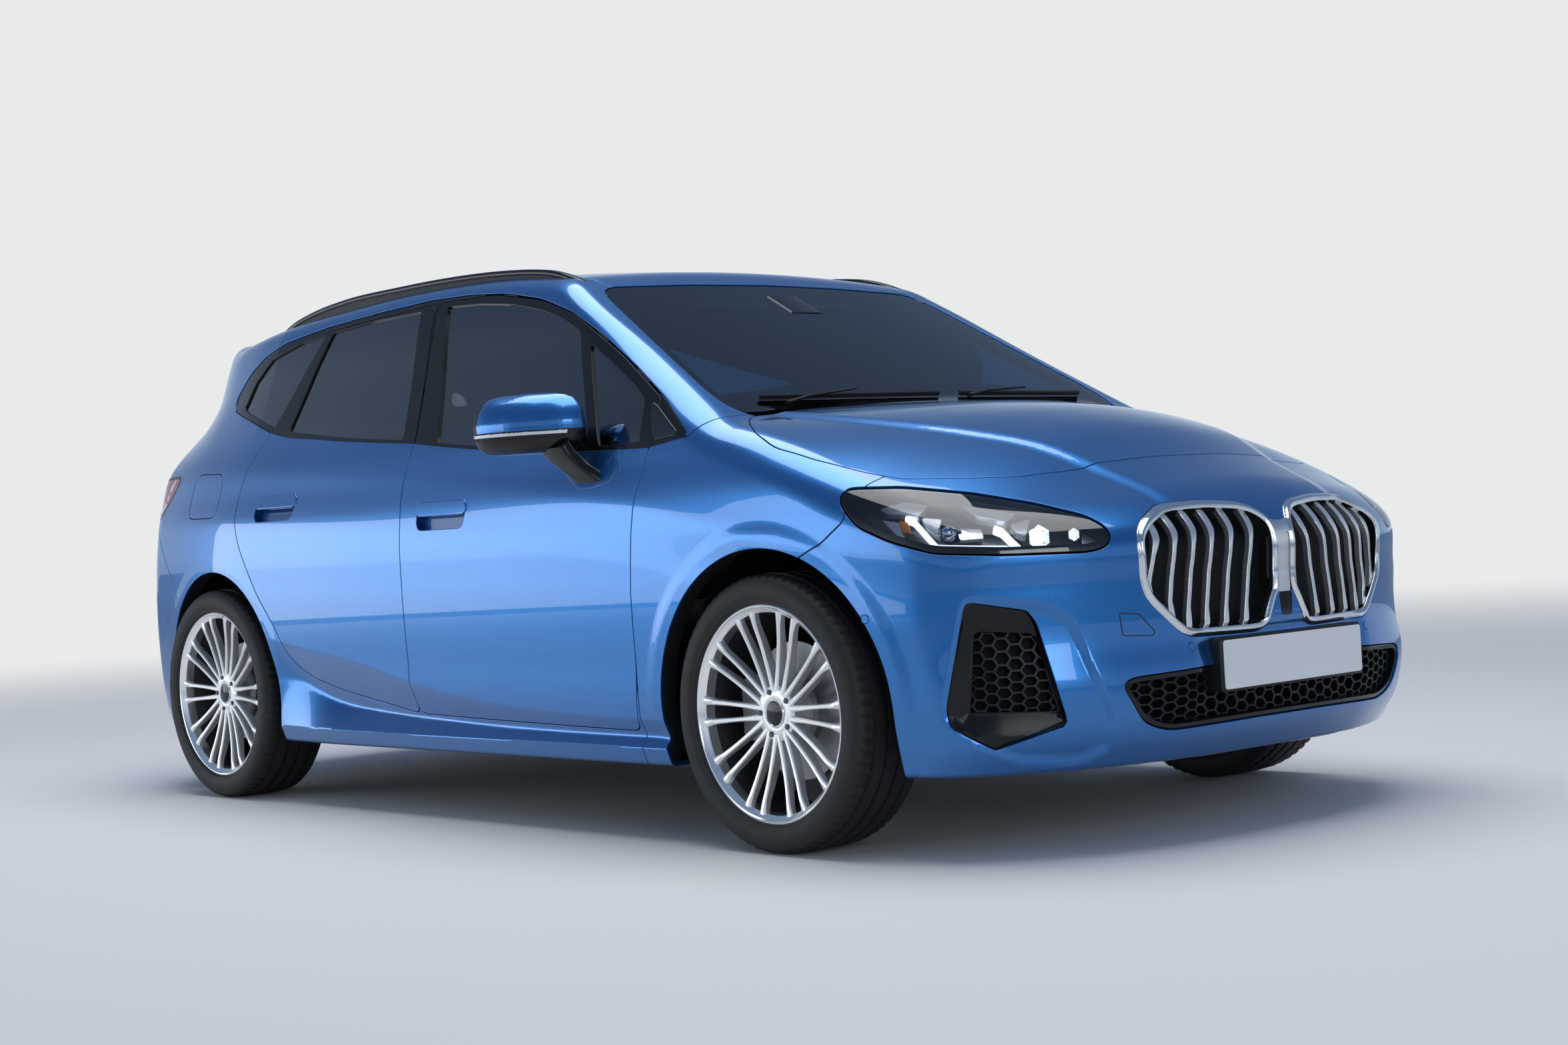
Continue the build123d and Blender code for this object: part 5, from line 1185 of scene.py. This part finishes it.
# %% Lofts and swept pieces
def face_outward(piece, smooth):
    """Turn all faces outwards, and keep the edges sharper than an angle in degrees."""
    mesh = bmesh.new()
    mesh.from_mesh(piece.data)
    bmesh.ops.recalc_face_normals(mesh, faces=mesh.faces)
    mesh.to_mesh(piece.data)
    mesh.free()
    piece.data.set_sharp_from_angle(angle=radians(smooth))


def loft(name, rings, material, rides="body_shell", caps=True, closed=True, smooth=30, sides="right",
         stands_for=()):
    """Join rings of equally many points into a skin, on one side or mirrored to both."""
    rings = [np.array(ring, float) for ring in rings]
    count = len(rings[0])
    points = np.concatenate(rings)
    faces = []
    last = count if closed else count - 1
    for i in range(len(rings) - 1):
        for k in range(last):
            a, b = i * count + k, i * count + (k + 1) % count
            faces.append((a, b, b + count, a + count))
    if caps:
        faces.append(tuple(range(count))[::-1])
        faces.append(tuple(range(len(points) - count, len(points))))
    if sides != "right":
        other = points * (1, -1, 1)
        turned = [tuple(i + (len(points) if sides == "both" else 0) for i in f[::-1]) for f in faces]
        points = np.concatenate([points, other]) if sides == "both" else other
        faces = faces + turned if sides == "both" else turned
    piece = make_object(name, points, faces, material, rides=rides, stands_for=stands_for)
    face_outward(piece, smooth)
    return piece


def rounded_box(half_width, half_height, corner, steps=4):
    """A rounded rectangle round (0, 0)."""
    ring = []
    for quarter in range(4):
        cx = (half_width - corner) * (1, -1, -1, 1)[quarter]
        cy = (half_height - corner) * (1, 1, -1, -1)[quarter]
        for k in range(steps + 1):
            turn = (quarter + k / steps) * pi / 2
            ring.append((cx + corner * cos(turn), cy + corner * sin(turn)))
    return ring


def tube(name, path, radius, material, rides="body_shell", sides="right", segments=10, flat=1.0):
    """A round or flattened bar along a path of points."""
    path = [Vector(p) for p in path]
    rings = []
    for i, p in enumerate(path):
        along = (path[min(i + 1, len(path) - 1)] - path[max(i - 1, 0)]).normalized()
        across = along.cross(Vector((0, 0, 1)))
        across = across.normalized() if across.length > 1e-3 else Vector((0, 1, 0))
        up = across.cross(along)
        r = radius[i] if isinstance(radius, (list, tuple)) else radius
        rings.append([p + r * cos(t) * across + r * flat * sin(t) * up
                      for t in (2 * pi * k / segments for k in range(segments))])
    return loft(name, rings, material, rides, sides=sides, smooth=50)


# %% Mirrors
MIRROR_PLAN = soft([(0.420, 0.866), (0.640, 0.852), (0.668, 0.880), (0.645, 0.940), (0.560, 1.022),
                    (0.455, 1.054), (0.390, 1.048), (0.384, 1.000)], 0.04)
MIRROR_Z, MIRROR_HALF = 1.069, 0.080
STRIP_Z = 1.042


def mirror_shape(x, y, z):
    """A housing that is rounded in plan and thinner towards its crown."""
    x, y, z = np.broadcast_arrays(x, y, z)
    plan = -within(MIRROR_PLAN, x, -y)
    crown = np.abs(z - MIRROR_Z) - MIRROR_HALF
    return rounded_max(plan + 0.22 * np.maximum(z - MIRROR_Z, 0), crown, 0.075)


def mirror_part(name, material, side, *fields, offset=0.0, depth=0.004):
    points, faces = mirror_skin
    for field in fields:
        points, faces = cut(points, faces, field(points))
    normals = unit(gradient(mirror_shape, points))
    points, faces, normals = fold(points - offset * normals, faces, normals, depth, 0.0008)
    points, faces, normals = on_sides(points, faces, normals, side)
    return make_object(f"mirror_{side}_{name}", points, faces, material, normals, f"door_front_{side}")


fine = 0.0055 * COARSE
mirror_skin = skin_mesh(mirror_shape, (0.34, -1.09, 0.95), (0.70, -0.81, 1.19), (fine, fine, fine))
mirror_skin = (settle(mirror_shape, mirror_skin[0]), mirror_skin[1])
MIRROR_PANE = soft([(-1.025, 1.008), (-1.028, 1.115), (-0.895, 1.122), (-0.895, 1.008)], 0.03)
in_pane = lambda p: np.minimum(within(MIRROR_PANE, p[:, 1], p[:, 2]), 0.46 - p[:, 0])
mirror_glass = surface("mirror_glass", (0.8, 0.82, 0.85), rough=0.02, metal=1.0)
for side in ("right", "left"):
    cap = mirror_part("cap", paint, side, lambda p: p[:, 2] - STRIP_Z - 0.008, lambda p: p[:, 0] - 0.425)
    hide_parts(f"mirror_{side}")
    mirror_part("light", satin_silver, side, lambda p: 0.0035 - np.abs(p[:, 2] - STRIP_Z),
                lambda p: p[:, 0] - 0.405, lambda p: -p[:, 1] - 0.925, offset=-0.001)
    mirror_part("light_bed", gloss_black, side, lambda p: STRIP_Z + 0.0075 - p[:, 2],
                lambda p: p[:, 0] - 0.405, lambda p: p[:, 2] - STRIP_Z + 0.012, offset=0.001)
    mirror_part("lower", gloss_black, side, lambda p: STRIP_Z - 0.0125 - p[:, 2], lambda p: p[:, 0] - 0.37)
    mirror_part("rim", satin_black, side, lambda p: 0.426 - p[:, 0], lambda p: p[:, 2] - STRIP_Z + 0.0125,
                lambda p: -in_pane(p))
    mirror_part("pane", mirror_glass, side, in_pane, offset=0.006, depth=0.002)
arm_rings = []
for place, half in (((0.668, -0.862, 0.908), 0.054), ((0.660, -0.882, 0.928), 0.050),
                    ((0.640, -0.903, 0.953), 0.047), ((0.615, -0.923, 0.983), 0.050),
                    ((0.600, -0.935, 1.010), 0.055)):
    arm_rings.append([(place[0] + a, place[1] + 0.83 * b, place[2] + 0.55 * b)
                      for a, b in rounded_box(half, 0.017, 0.012)])
for side in ("right", "left"):
    loft(f"mirror_{side}_arm", arm_rings, gloss_black, rides=f"door_front_{side}", sides=side)

# %% Roof rails
RAIL_Y = abs(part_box("roof_rails")[0][1]) - 0.014
rail_top = curve((-1.294, 1.485), (-1.25, 1.499), (-1.121, 1.525), (-0.915, 1.546), (-0.60, 1.552),
                 (-0.35, 1.551), (-0.009, 1.536), (0.099, 1.526), (0.193, 1.512), (0.264, 1.493),
                 (0.330, 1.469), (0.430, 1.417))
rail_x = np.concatenate([np.linspace(-1.292, -1.1, 9)[:-1], np.linspace(-1.1, 0.15, 26)[:-1],
                         np.linspace(0.15, 0.429, 14)])
bar_rings, web_rings = [], []
for x in rail_x:
    top = float(rail_top(x))
    shown = min(1.0, (x + 1.294) / 0.08, (0.434 - x) / 0.08)
    bar_rings.append([(x, -RAIL_Y + a * (0.55 + 0.45 * shown), top - 0.009 + b)
                      for a, b in rounded_box(0.0135, 0.009, 0.007)])
    web_rings.append([(x, -RAIL_Y + a * 0.74, z) for a, z in ((-0.0135, top - 0.014), (0.0135, top - 0.014),
                                                            (0.0150, top - 0.050), (-0.0150, top - 0.050))])
loft("roof_rail_bars", bar_rings, gloss_black, sides="both", stands_for=["roof_rails"])
loft("roof_rail_webs", web_rings, satin_black, sides="both")

# %% Tail lamps
panel("tail_lamp_lens", red_lamp, grown(in_lamp, -0.0015), depth=0.02, offset=0.0, stands_for=["tail_lamps"])
panel("tail_lamp_guides", white_lamp,
      side_view(soft([(-1.735, 1.036), (-1.81, 0.918), (-2.06, 0.905), (-2.06, 0.918), (-1.818, 0.930),
                      (-1.755, 1.030)], 0.006)), grown(in_lamp, -0.004), depth=0.004, offset=-0.002)
panel("tail_lamp_edge", gloss_black, grown(in_lamp, -0.001), lambda p: 0.006 - in_lamp(p), depth=0.01,
      offset=-0.0006)

# %% Number plates, wipers and fittings in the bumpers
PLATE_SIZE = (0.520, 0.111)


def plate(name, material, x, z, lean, rides="body_shell"):
    """A blank pressed plate with its screws, facing ahead or behind."""
    ahead_sign = 1 if x > 0 else -1
    turn = Matrix.Rotation(lean, 4, "Y")
    width, height = PLATE_SIZE
    rings = []
    for depth, shrink in ((-0.0015, 0.0), (0.0005, 0.0), (0.0012, 0.0008), (0.0012, 0.006), (0.0006, 0.0075)):
        ring = rounded_box(width / 2 - shrink, height / 2 - shrink, 0.008)
        rings.append([turn @ Vector((ahead_sign * depth, a, b)) + Vector((x, 0, z)) for a, b in ring])
    loft(name, rings, material, rides)
    for number, a in enumerate((-0.225, 0.225)):
        spot = turn @ Vector((0.0, a, 0.0)) + Vector((x, 0, z))
        head = [[spot + turn @ Vector((ahead_sign * d, r * cos(t), r * sin(t)))
                 for t in (2 * pi * k / 16 for k in range(16))]
                for d, r in ((0.0, 0.006), (0.0022, 0.005), (0.0028, 0.003))]
        loft(f"{name}_screw_{number + 1}", head, material, rides)


holder = [[(x, a, 0.402 + b) for a, b in rounded_box(0.268, 0.062, 0.010)] for x in (2.130, 2.178)]
holder += [[(2.1815, a, 0.402 + b) for a, b in rounded_box(0.264, 0.058, 0.008)]]
loft("front_plate_holder", holder, satin_black)
plate("front_plate", plate_white, 2.1835, 0.402, 0.0)
plate("rear_plate", plate_yellow, -2.176, 0.770, 0.15, "tailgate")


def from_behind(u, z):
    return drop(np.stack([np.full(len(u), -2.5), -np.asarray(u), z], 1), (1, 0, 0))


def from_above(x, y):
    return drop(np.stack([x, y, np.full(len(x), 1.9)], 1), (0, 0, -1))


RIBBON_LIFT = 0.0004


def stud(name, material, project, u, v, radius, lift):
    """A small round button let into the skin."""
    rings = []
    for share, rise in ((1.0, -0.002), (1.0, lift - 0.0004), (0.94, lift), (0.02, lift)):
        turns = np.linspace(0, 2 * pi, 24, endpoint=False)
        points, normals = project(u + share * radius * np.cos(turns), v + share * radius * np.sin(turns))
        rings.append(points + rise * normals)
    return loft(name, rings, material, sides="both")


def ribbon(name, material, project, line, width):
    """A thin line that lies on the skin of the right side."""
    fine_line = []
    for a, b in zip(line, line[1:]):
        count = max(int((Vector(b) - Vector(a)).length / 0.012), 1)
        fine_line += [tuple(Vector(a).lerp(Vector(b), k / count)) for k in range(count)]
    outline = strip(fine_line + [line[-1]], width)
    half = len(outline) // 2
    points, normals = project(*np.array(outline).T)
    points = points + RIBBON_LIFT * normals
    left, right = points[:half], points[half:][::-1]
    return loft(name, [left, right], material, caps=False, closed=False)


SENSORS = {"front": (from_front, 0.330, 0.449), "front_side": (from_side, 1.661, 0.552),
           "rear": (from_behind, 0.300, 0.470), "rear_side": (from_side, -1.760, 0.560)}
for name, (project, u, v) in SENSORS.items():
    stud(f"{name}_sensor_gap", seal_rubber, project, u, v, 0.0115, 0.0003)
    stud(f"{name}_sensor", paint, project, u, v, 0.0098, 0.0009)
TOW_COVER = soft([(0.506, 0.537), (0.458, 0.532), (0.422, 0.490), (0.430, 0.482), (0.502, 0.487)], 0.006)
ribbon("tow_cover_seam", seal_rubber, from_front, TOW_COVER + TOW_COVER[:1], 0.0022)

# %% Wipers
WIPER_AHEAD = 0.055
WIPER_SPAN = 15


def wiper(name, pivot, blade):
    """An arm from its spindle to the middle of a blade that lies on the glass."""
    (px, py), (start, end) = pivot, blade
    y = np.linspace(start, end, WIPER_SPAN)
    x = WINDSCREEN_FOOT[0] - windscreen_sag(np.abs(y)) - WIPER_AHEAD
    points, normals = from_above(x, y)
    tube(f"{name}_blade", points + 0.008 * normals, 0.0045, satin_black)
    tube(f"{name}_edge", points + 0.003 * normals, 0.003, seal_rubber, flat=1.4)
    spindle, rise = from_above(np.array([px]), np.array([py]))
    half = WIPER_SPAN // 2
    foot, clip = spindle[0] + 0.012 * rise[0], points[half] + 0.024 * normals[half]
    knee = foot + 0.3 * (clip - foot) + np.array([0, 0, 0.006])
    tube(f"{name}_arm", [foot, knee, clip], [0.009, 0.007, 0.0045], satin_black, flat=0.6)


wiper("wiper_right", (1.085, -0.560), (-0.60, 0.00))
wiper("wiper_left", (1.130, 0.050), (0.08, 0.60))
print("small fittings ready")

# %% [markdown]
# ## Wheels and tyres
# Ten pairs of slim spokes in a polished rim, a plain centre cap, and a tyre with four grooves
# round it and cut shoulder blocks. Each wheel is built once at its hub and placed four times.

# %% Turned shapes and one wheel
RIM_OUT = 0.100
TURNS = 216


def turned(name, profile, material, corner, smooth=35, steps=72):
    """Turn a profile of (radius, outward) points about the axle of one wheel."""
    rings = []
    for radius, out in profile:
        rings.append([(radius * cos(t), -out, radius * sin(t))
                      for t in (2 * pi * k / steps for k in range(steps))])
    return seat_wheel(loft(name, rings, material, rides=f"wheel_{corner}", caps=False, smooth=smooth), corner)


def seat_wheel(piece, corner):
    """Move a piece built at the hub of a right-hand wheel to one corner of the car."""
    place, side = corner.split("_")
    centre = ((FRONT_AXLE if place == "front" else REAR_AXLE), -WHEEL_Y, AXLE_HEIGHT)
    mesh = piece.data
    mesh.transform(Matrix.Translation(centre))
    if side == "left":
        mesh.transform(Matrix.Scale(-1, 4, (0, 1, 0)))
        mesh.flip_normals()
    return piece


TREAD_GROOVES = (-0.061, -0.021, 0.021, 0.061)
TREAD_HALF = 0.094


def tyre_profile():
    """Points from the inner bead over the tread to the outer bead: (radius, outward, block share)."""
    side = [(0.2592, 0.100, 0), (0.266, 0.1075, 0), (0.272, 0.1085, 0), (0.275, 0.1105, 0),
            (0.285, 0.1115, 0), (0.297, 0.1118, 0), (0.308, 0.1095, 0), (0.3175, 0.1045, 0),
            (0.3235, 0.0995, 0.6), (0.3275, TREAD_HALF, 1)]
    tread = [(0.3295, 0.086, 1), (0.3302, 0.0665, 1)]
    for groove in TREAD_GROOVES[::-1]:
        if groove < 0.06:
            tread += [(0.3309, groove + 0.005, 0)]
        tread += [(0.3240, groove + 0.0035, 0), (0.3240, groove - 0.0035, 0)]
        if groove > -0.06:
            tread += [(0.3309, groove - 0.005, 0)]
    tread += [(0.3302, -0.0665, 1), (0.3295, -0.086, 1)]
    inner = [(r, -out, block) for r, out, block in side[::-1]]
    return side + tread + inner


def tyre(corner):
    profile = tyre_profile()
    rings = []
    for k in range(TURNS):
        turn = 2 * pi * k / TURNS
        cut_here = k % 3 == 0
        ring = []
        for radius, out, block in profile:
            skew = 0.010 * (out / TREAD_HALF) * block
            r = radius - 0.005 * block * cut_here
            ring.append((r * cos(turn + skew), -out, r * sin(turn + skew)))
        rings.append(ring)
    rings.append(rings[0])
    piece = loft(f"tyre_{corner}_skin", rings, tyre_rubber, rides=f"wheel_{corner}", caps=False, closed=False,
                 smooth=28, stands_for=[f"tyre_{corner}"])
    return seat_wheel(piece, corner)


tyre_rubber = rough_by_noise(surface("tyre_rubber", (0.016, 0.015, 0.015), rough=0.6, specular=0.35), 30,
                             0.5, 0.68)
rim_silver = surface("rim_silver", (0.82, 0.815, 0.80), rough=0.3, metal=0.7, coat=0.5)
rim_bright = surface("rim_bright", (0.92, 0.915, 0.90), rough=0.16, metal=0.9, coat=0.3)
rim_dark = surface("rim_dark", (0.10, 0.10, 0.11), rough=0.4, metal=0.8)
disc_steel = rough_by_noise(surface("disc_steel", (0.35, 0.35, 0.36), rough=0.3, metal=1.0), 300, 0.25, 0.4)
SPOKE_PAIRS = 10
spoke_height = curve((0.04, 0.074), (0.10, 0.076), (0.17, 0.082), (0.225, 0.090), (0.245, 0.091))
spoke_half = curve((0.04, 0.0085), (0.10, 0.0062), (0.17, 0.0058), (0.225, 0.0085), (0.245, 0.0125))
spoke_depth = curve((0.04, 0.030), (0.17, 0.022), (0.245, 0.014))


def spokes(corner):
    """All spokes of one wheel: slim bars in pairs that spread towards the rim."""
    points, faces = [], []
    for number in range(2 * SPOKE_PAIRS):
        lean = -1 if number % 2 else 1
        turn = 2 * pi * (number // 2) / SPOKE_PAIRS
        rings = []
        for r in np.linspace(0.042, 0.2445, 13):
            aside = lean * (0.0115 + 0.075 * max(r - 0.05, 0) + 0.075 * max(r - 0.21, 0))
            top, half, deep = float(spoke_height(r)), float(spoke_half(r)), float(spoke_depth(r))
            section = [(-half, top - deep), (-half, top - 0.003), (-half * 0.55, top), (half * 0.55, top),
                       (half, top - 0.003), (half, top - deep)]
            rings.append([(r * cos(turn) - (aside + a) * sin(turn), -out,
                           r * sin(turn) + (aside + a) * cos(turn)) for a, out in section])
        start = len(points)
        points += [point for ring in rings for point in ring]
        for i in range(len(rings) - 1):
            for k in range(6):
                a, b = start + 6 * i + k, start + 6 * i + (k + 1) % 6
                faces.append((a, b, b + 6, a + 6))
    piece = make_object(f"spokes_{corner}", np.array(points), faces, rim_silver, rides=f"wheel_{corner}",
                        stands_for=[f"wheel_{corner}"])
    face_outward(piece, 35)
    return seat_wheel(piece, corner)


for place in ("front", "rear"):
    for side in ("right", "left"):
        corner = f"{place}_{side}"
        tyre(corner)
        spokes(corner)
        turned(f"rim_lip_{corner}", [(0.2590, 0.0905), (0.2590, RIM_OUT), (0.2565, RIM_OUT + 0.001),
                                     (0.2540, RIM_OUT), (0.2500, 0.0935), (0.2440, 0.0905), (0.2400, 0.086),
                                     (0.2385, 0.060)], rim_bright, corner, steps=120)
        turned(f"rim_barrel_{corner}", [(0.2385, 0.060), (0.2340, 0.02), (0.2300, -0.03), (0.2400, -0.085),
                                        (0.2590, -0.100), (0.2590, -0.090), (0.2440, -0.078), (0.2460, 0.0),
                                        (0.2460, 0.080), (0.2590, 0.0905)], rim_dark, corner, steps=96)
        turned(f"hub_{corner}", [(0.0, 0.0725), (0.034, 0.0725), (0.036, 0.0745), (0.040, 0.0750),
                                 (0.060, 0.0735), (0.066, 0.070), (0.068, 0.045), (0.068, -0.02)],
               rim_silver, corner)
        turned(f"centre_cap_{corner}", [(0.0, 0.0770), (0.026, 0.0765), (0.0285, 0.0755)], gloss_black,
               corner)
        turned(f"centre_ring_{corner}", [(0.0285, 0.0755), (0.0300, 0.0775), (0.0325, 0.0775),
                                         (0.0340, 0.0725)], chrome, corner)
        disc = 0.165 if place == "front" else 0.155
        turned(f"brake_disc_{corner}", [(0.069, 0.012), (0.085, 0.012), (0.088, -0.002), (disc, -0.002),
                                        (disc, -0.026), (0.088, -0.026)], disc_steel, corner)
        for number in range(5):
            turn = 2 * pi * (number + 0.5) / 5
            bolt = [[(0.052 * cos(turn) + r * cos(t), -out, 0.052 * sin(turn) + r * sin(t))
                     for t in (2 * pi * k / 6 for k in range(6))]
                    for r, out in ((0.0075, 0.072), (0.0075, 0.0765), (0.0055, 0.0785))]
            seat_wheel(loft(f"wheel_bolt_{corner}_{number + 1}", bolt, rim_dark, rides=f"wheel_{corner}"),
                       corner)
print("wheels ready")

# %% [markdown]
# ## The cabin
# Seen through the glass and through open doors: seats, dashboard, wheel, headliner and door cards.

# %% Cabin materials
cloth_dark = rough_by_noise(surface("cloth_dark", (0.030, 0.031, 0.034), rough=0.85, specular=0.2), 220,
                            0.75, 0.95, 0.3)
cloth_grey = rough_by_noise(surface("cloth_grey", (0.34, 0.34, 0.33), rough=0.9, specular=0.2), 260, 0.8,
                            0.95, 0.2)
soft_plastic = rough_by_noise(surface("soft_plastic", (0.022, 0.023, 0.025), rough=0.6, specular=0.3), 400,
                              0.5, 0.7, 0.2)
carpet = rough_by_noise(surface("carpet", (0.018, 0.018, 0.019), rough=0.95, specular=0.1), 500, 0.85, 1.0,
                        0.5)
cast_metal = rough_by_noise(surface("cast_metal", (0.20, 0.20, 0.21), rough=0.5, metal=0.7), 80, 0.4, 0.6)


def rounded(p, centre, half, corner, lean=0.0):
    """Distance to a rounded box, leaned back about its centre."""
    x, y, z = (p[i] - centre[i] for i in range(3))
    x, z = x * cos(lean) + z * sin(lean), z * cos(lean) - x * sin(lean)
    q = [np.maximum(np.abs(v) - (h - corner), 0) for v, h in zip((x, y, z), half)]
    return np.sqrt(q[0] ** 2 + q[1] ** 2 + q[2] ** 2) - corner


def blended(*shapes, size=0.02):
    result = shapes[0]
    for shape in shapes[1:]:
        result = rounded_min(result, shape, size)
    return result


SEAT_Y = 0.37


def front_seat(x, y, z):
    """One front seat: cushion with side bolsters, backrest and headrest."""
    p = np.broadcast_arrays(x, y, z)
    off = np.abs(y + SEAT_Y)
    cushion = rounded(p, (0.205, -SEAT_Y, 0.475), (0.255, 0.245, 0.065), 0.045, 0.06)
    ridge = rounded((x, off, z), (0.18, 0.205, 0.510), (0.22, 0.045, 0.055), 0.035, 0.06)
    back = rounded(p, (-0.155, -SEAT_Y, 0.80), (0.058, 0.175, 0.345), 0.050, 0.34)
    wing = rounded((x, off, z), (-0.105, 0.205, 0.77), (0.070, 0.042, 0.25), 0.038, 0.34)
    head = rounded(p, (-0.285, -SEAT_Y, 1.245), (0.052, 0.130, 0.092), 0.048, 0.16)
    return blended(cushion, ridge, back, wing, head, size=0.03)


def bench(x, y, z):
    """The rear bench with three headrests."""
    p = np.broadcast_arrays(x, y, z)
    off = np.abs(np.abs(y) - 0.36)
    cushion = rounded(p, (REAR_AXLE + 0.64, 0, 0.500), (0.25, 0.585, 0.060), 0.045, 0.06)
    back = rounded(p, (REAR_AXLE + 0.265, 0, 0.815), (0.055, 0.585, 0.315), 0.045, 0.36)
    heads = rounded((x, off, z), (REAR_AXLE + 0.135, 0.0, 1.165), (0.042, 0.125, 0.070), 0.040, 0.20)
    middle_head = rounded(p, (REAR_AXLE + 0.135, 0, 1.145), (0.040, 0.090, 0.060), 0.038, 0.20)
    groove = 0.010 * np.exp(-((np.abs(y) - 0.195) / 0.008) ** 2)
    return blended(cushion, back, heads, middle_head, size=0.03) + groove


def shaped(name, shape, low, high, step, material, sides="right", stands_for=()):
    """Mesh a formula in a box, on one side or both."""
    points, faces = skin_mesh(shape, low, high, (step, step, step))
    points = settle(shape, points, rounds=3)
    points, faces, normals = on_sides(points, faces, unit(gradient(shape, points)), sides)
    return make_object(name, points, faces, material, normals, stands_for=stands_for)


grid = 0.016 * COARSE
front_seats = shaped("front_seat_covers", front_seat, (-0.45, -0.66, 0.38), (0.50, -0.08, 1.40), grid,
                     cloth_dark, "both", ["front_seats"])
rear_seats = shaped("rear_bench_cover", bench, (REAR_AXLE - 0.05, -0.64, 0.41),
                    (REAR_AXLE + 0.95, 0.64, 1.30), grid, cloth_dark, stands_for=["rear_bench"])
for side, sign in (("right", 1), ("left", -1)):
    for number, off in enumerate((-0.045, 0.045)):
        tube(f"headrest_post_{side}_{number + 1}",
             [(-0.292, -sign * SEAT_Y + off, 1.10), (-0.290, -sign * SEAT_Y + off, 1.20)], 0.006, chrome)
    for number, off in enumerate((-0.200, 0.200)):
        rail = [[(x, -sign * SEAT_Y + off + a, 0.245 + b) for a, b in rounded_box(0.022, 0.014, 0.004)]
                for x in (-0.06, 0.36)]
        loft(f"seat_rail_{side}_{number + 1}", rail, soft_plastic)
        foot = [[(x, -sign * SEAT_Y + off + a, 0.335 + b) for a, b in rounded_box(0.012, 0.085, 0.004)]
                for x in (0.02, 0.30)]
        loft(f"seat_frame_{side}_{number + 1}", foot, soft_plastic)

# %% Dashboard, wheel and console
DASH = soft([(0.945, 0.700), (0.950, 1.008), (0.760, 1.012), (0.640, 0.985), (0.602, 0.930), (0.590, 0.862),
             (0.650, 0.765), (0.720, 0.700)], 0.05)
dash_rings = []
for y in np.linspace(-0.728, 0.728, 25):
    bow = 0.045 * (1 - (abs(y) / 0.728) ** 2)
    dash_rings.append([(x - bow * (0.95 - x), y, z) for x, z in DASH])
loft("dashboard_cover", dash_rings, soft_plastic, stands_for=["dashboard"])
trim_ring = [[(0.5925 - 0.004 * cos(a / 0.72), a, z) for z in (0.885, 0.895)]
             for a in np.linspace(-0.70, 0.70, 15)]
loft("dashboard_trim", trim_ring, satin_silver, caps=False, closed=False)
screen_rings = []
for y in np.linspace(-0.575, 0.085, 18):
    bow = 0.035 * ((y + 0.245) / 0.33) ** 2
    screen_rings.append([(0.612 - bow + a + 0.28 * b, y, 1.012 + b)
                         for a, b in rounded_box(0.007, 0.058, 0.005)])
loft("curved_display", screen_rings, screen_black)
hood = [[(0.700 + a, y, 0.985 + b) for a, b in rounded_box(0.075, 0.030, 0.02)] for y in (-0.56, -0.18)]
loft("display_foot", hood, soft_plastic)
console = [[(x, a, z + b) for a, b in rounded_box(0.115, half, 0.03)]
           for x, z, half in ((0.72, 0.62, 0.13), (0.56, 0.62, 0.13), (0.42, 0.585, 0.085),
                              (-0.10, 0.575, 0.075), (-0.16, 0.55, 0.05))]
loft("centre_console", console, soft_plastic)
armrest = [[(x, a, 0.672 + b) for a, b in rounded_box(0.095, 0.025, 0.02)] for x in (-0.13, 0.16)]
loft("console_armrest", armrest, cloth_dark)
print("cabin: seats and dashboard ready")

# %% Trim that follows the body from inside
in_cabin_roof = lambda p: np.minimum(within(soft([(0.36, -0.2), (0.36, 0.50), (-1.60, 0.50), (-1.60, -0.2)],
                                                 0.05), p[:, 0], np.abs(p[:, 1])), p[:, 2] - 1.3)
panel("headliner", cloth_grey, in_cabin_roof, offset=0.045, depth=0, flip=True, source=inner_mesh)
for door, place, side, outline in DOORS:
    panel(f"{door}_card", soft_plastic, side_view(outline, -0.065), below_belt(-0.02), offset=0.034,
          depth=0.055, radius=0.012, back=True, sides=side, rides=door, source=inner_mesh)
    x, z = HANDLES[place]
    foot, top = (x - 0.30, x - 0.28) if place == "front" else (x - 0.05, x - 0.04)
    rest = soft([(foot, z - 0.145), (top, z - 0.085), (x + 0.45, z - 0.075), (x + 0.47, z - 0.135)], 0.03)
    panel(f"{door}_armrest", cloth_dark, side_view(rest), offset=0.090, depth=0.045, radius=0.01,
                    back=True, sides=side, rides=door)
    near, far = x + 0.18, x + 0.33
    pull = soft([(near, z - 0.045), (near, z - 0.010), (far, z - 0.005), (far, z - 0.040)], 0.012)
    panel(f"{door}_inner_handle", satin_silver, side_view(pull), offset=0.089, depth=0.010, back=True,
          sides=side, rides=door)
mirror_rings = [[(0.395 + a + 0.10 * abs(y), y, 1.335 + b) for a, b in rounded_box(0.014, 0.034, 0.012)]
                for y in (-0.125, -0.115, 0.0, 0.115, 0.125)]
loft("cabin_mirror", mirror_rings, gloss_black)
tube("cabin_mirror_stem", [(0.41, 0, 1.36), (0.46, 0, 1.395)], 0.010, soft_plastic)
sensor_box = [[(x, a, z + b) for a, b in rounded_box(0.060, 0.018, 0.01)]
              for x, z in ((0.46, 1.405), (0.56, 1.350))]
loft("screen_sensor_box", sensor_box, gloss_black)

# %% Finish the engineering pieces that stay in view
NODE_FINISH = {"steering_wheel": soft_plastic, "floor_pan": carpet, "engine_block": cast_metal,
               "arch_liners": matt_black, "front_suspension": satin_black, "rear_suspension": satin_black,
               "knuckle_right": cast_metal, "knuckle_left": cast_metal, "aerial_fin": paint}
for name, finish in NODE_FINISH.items():
    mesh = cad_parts[name].data
    mesh.materials.clear()
    mesh.materials.append(finish)
print("cabin ready")
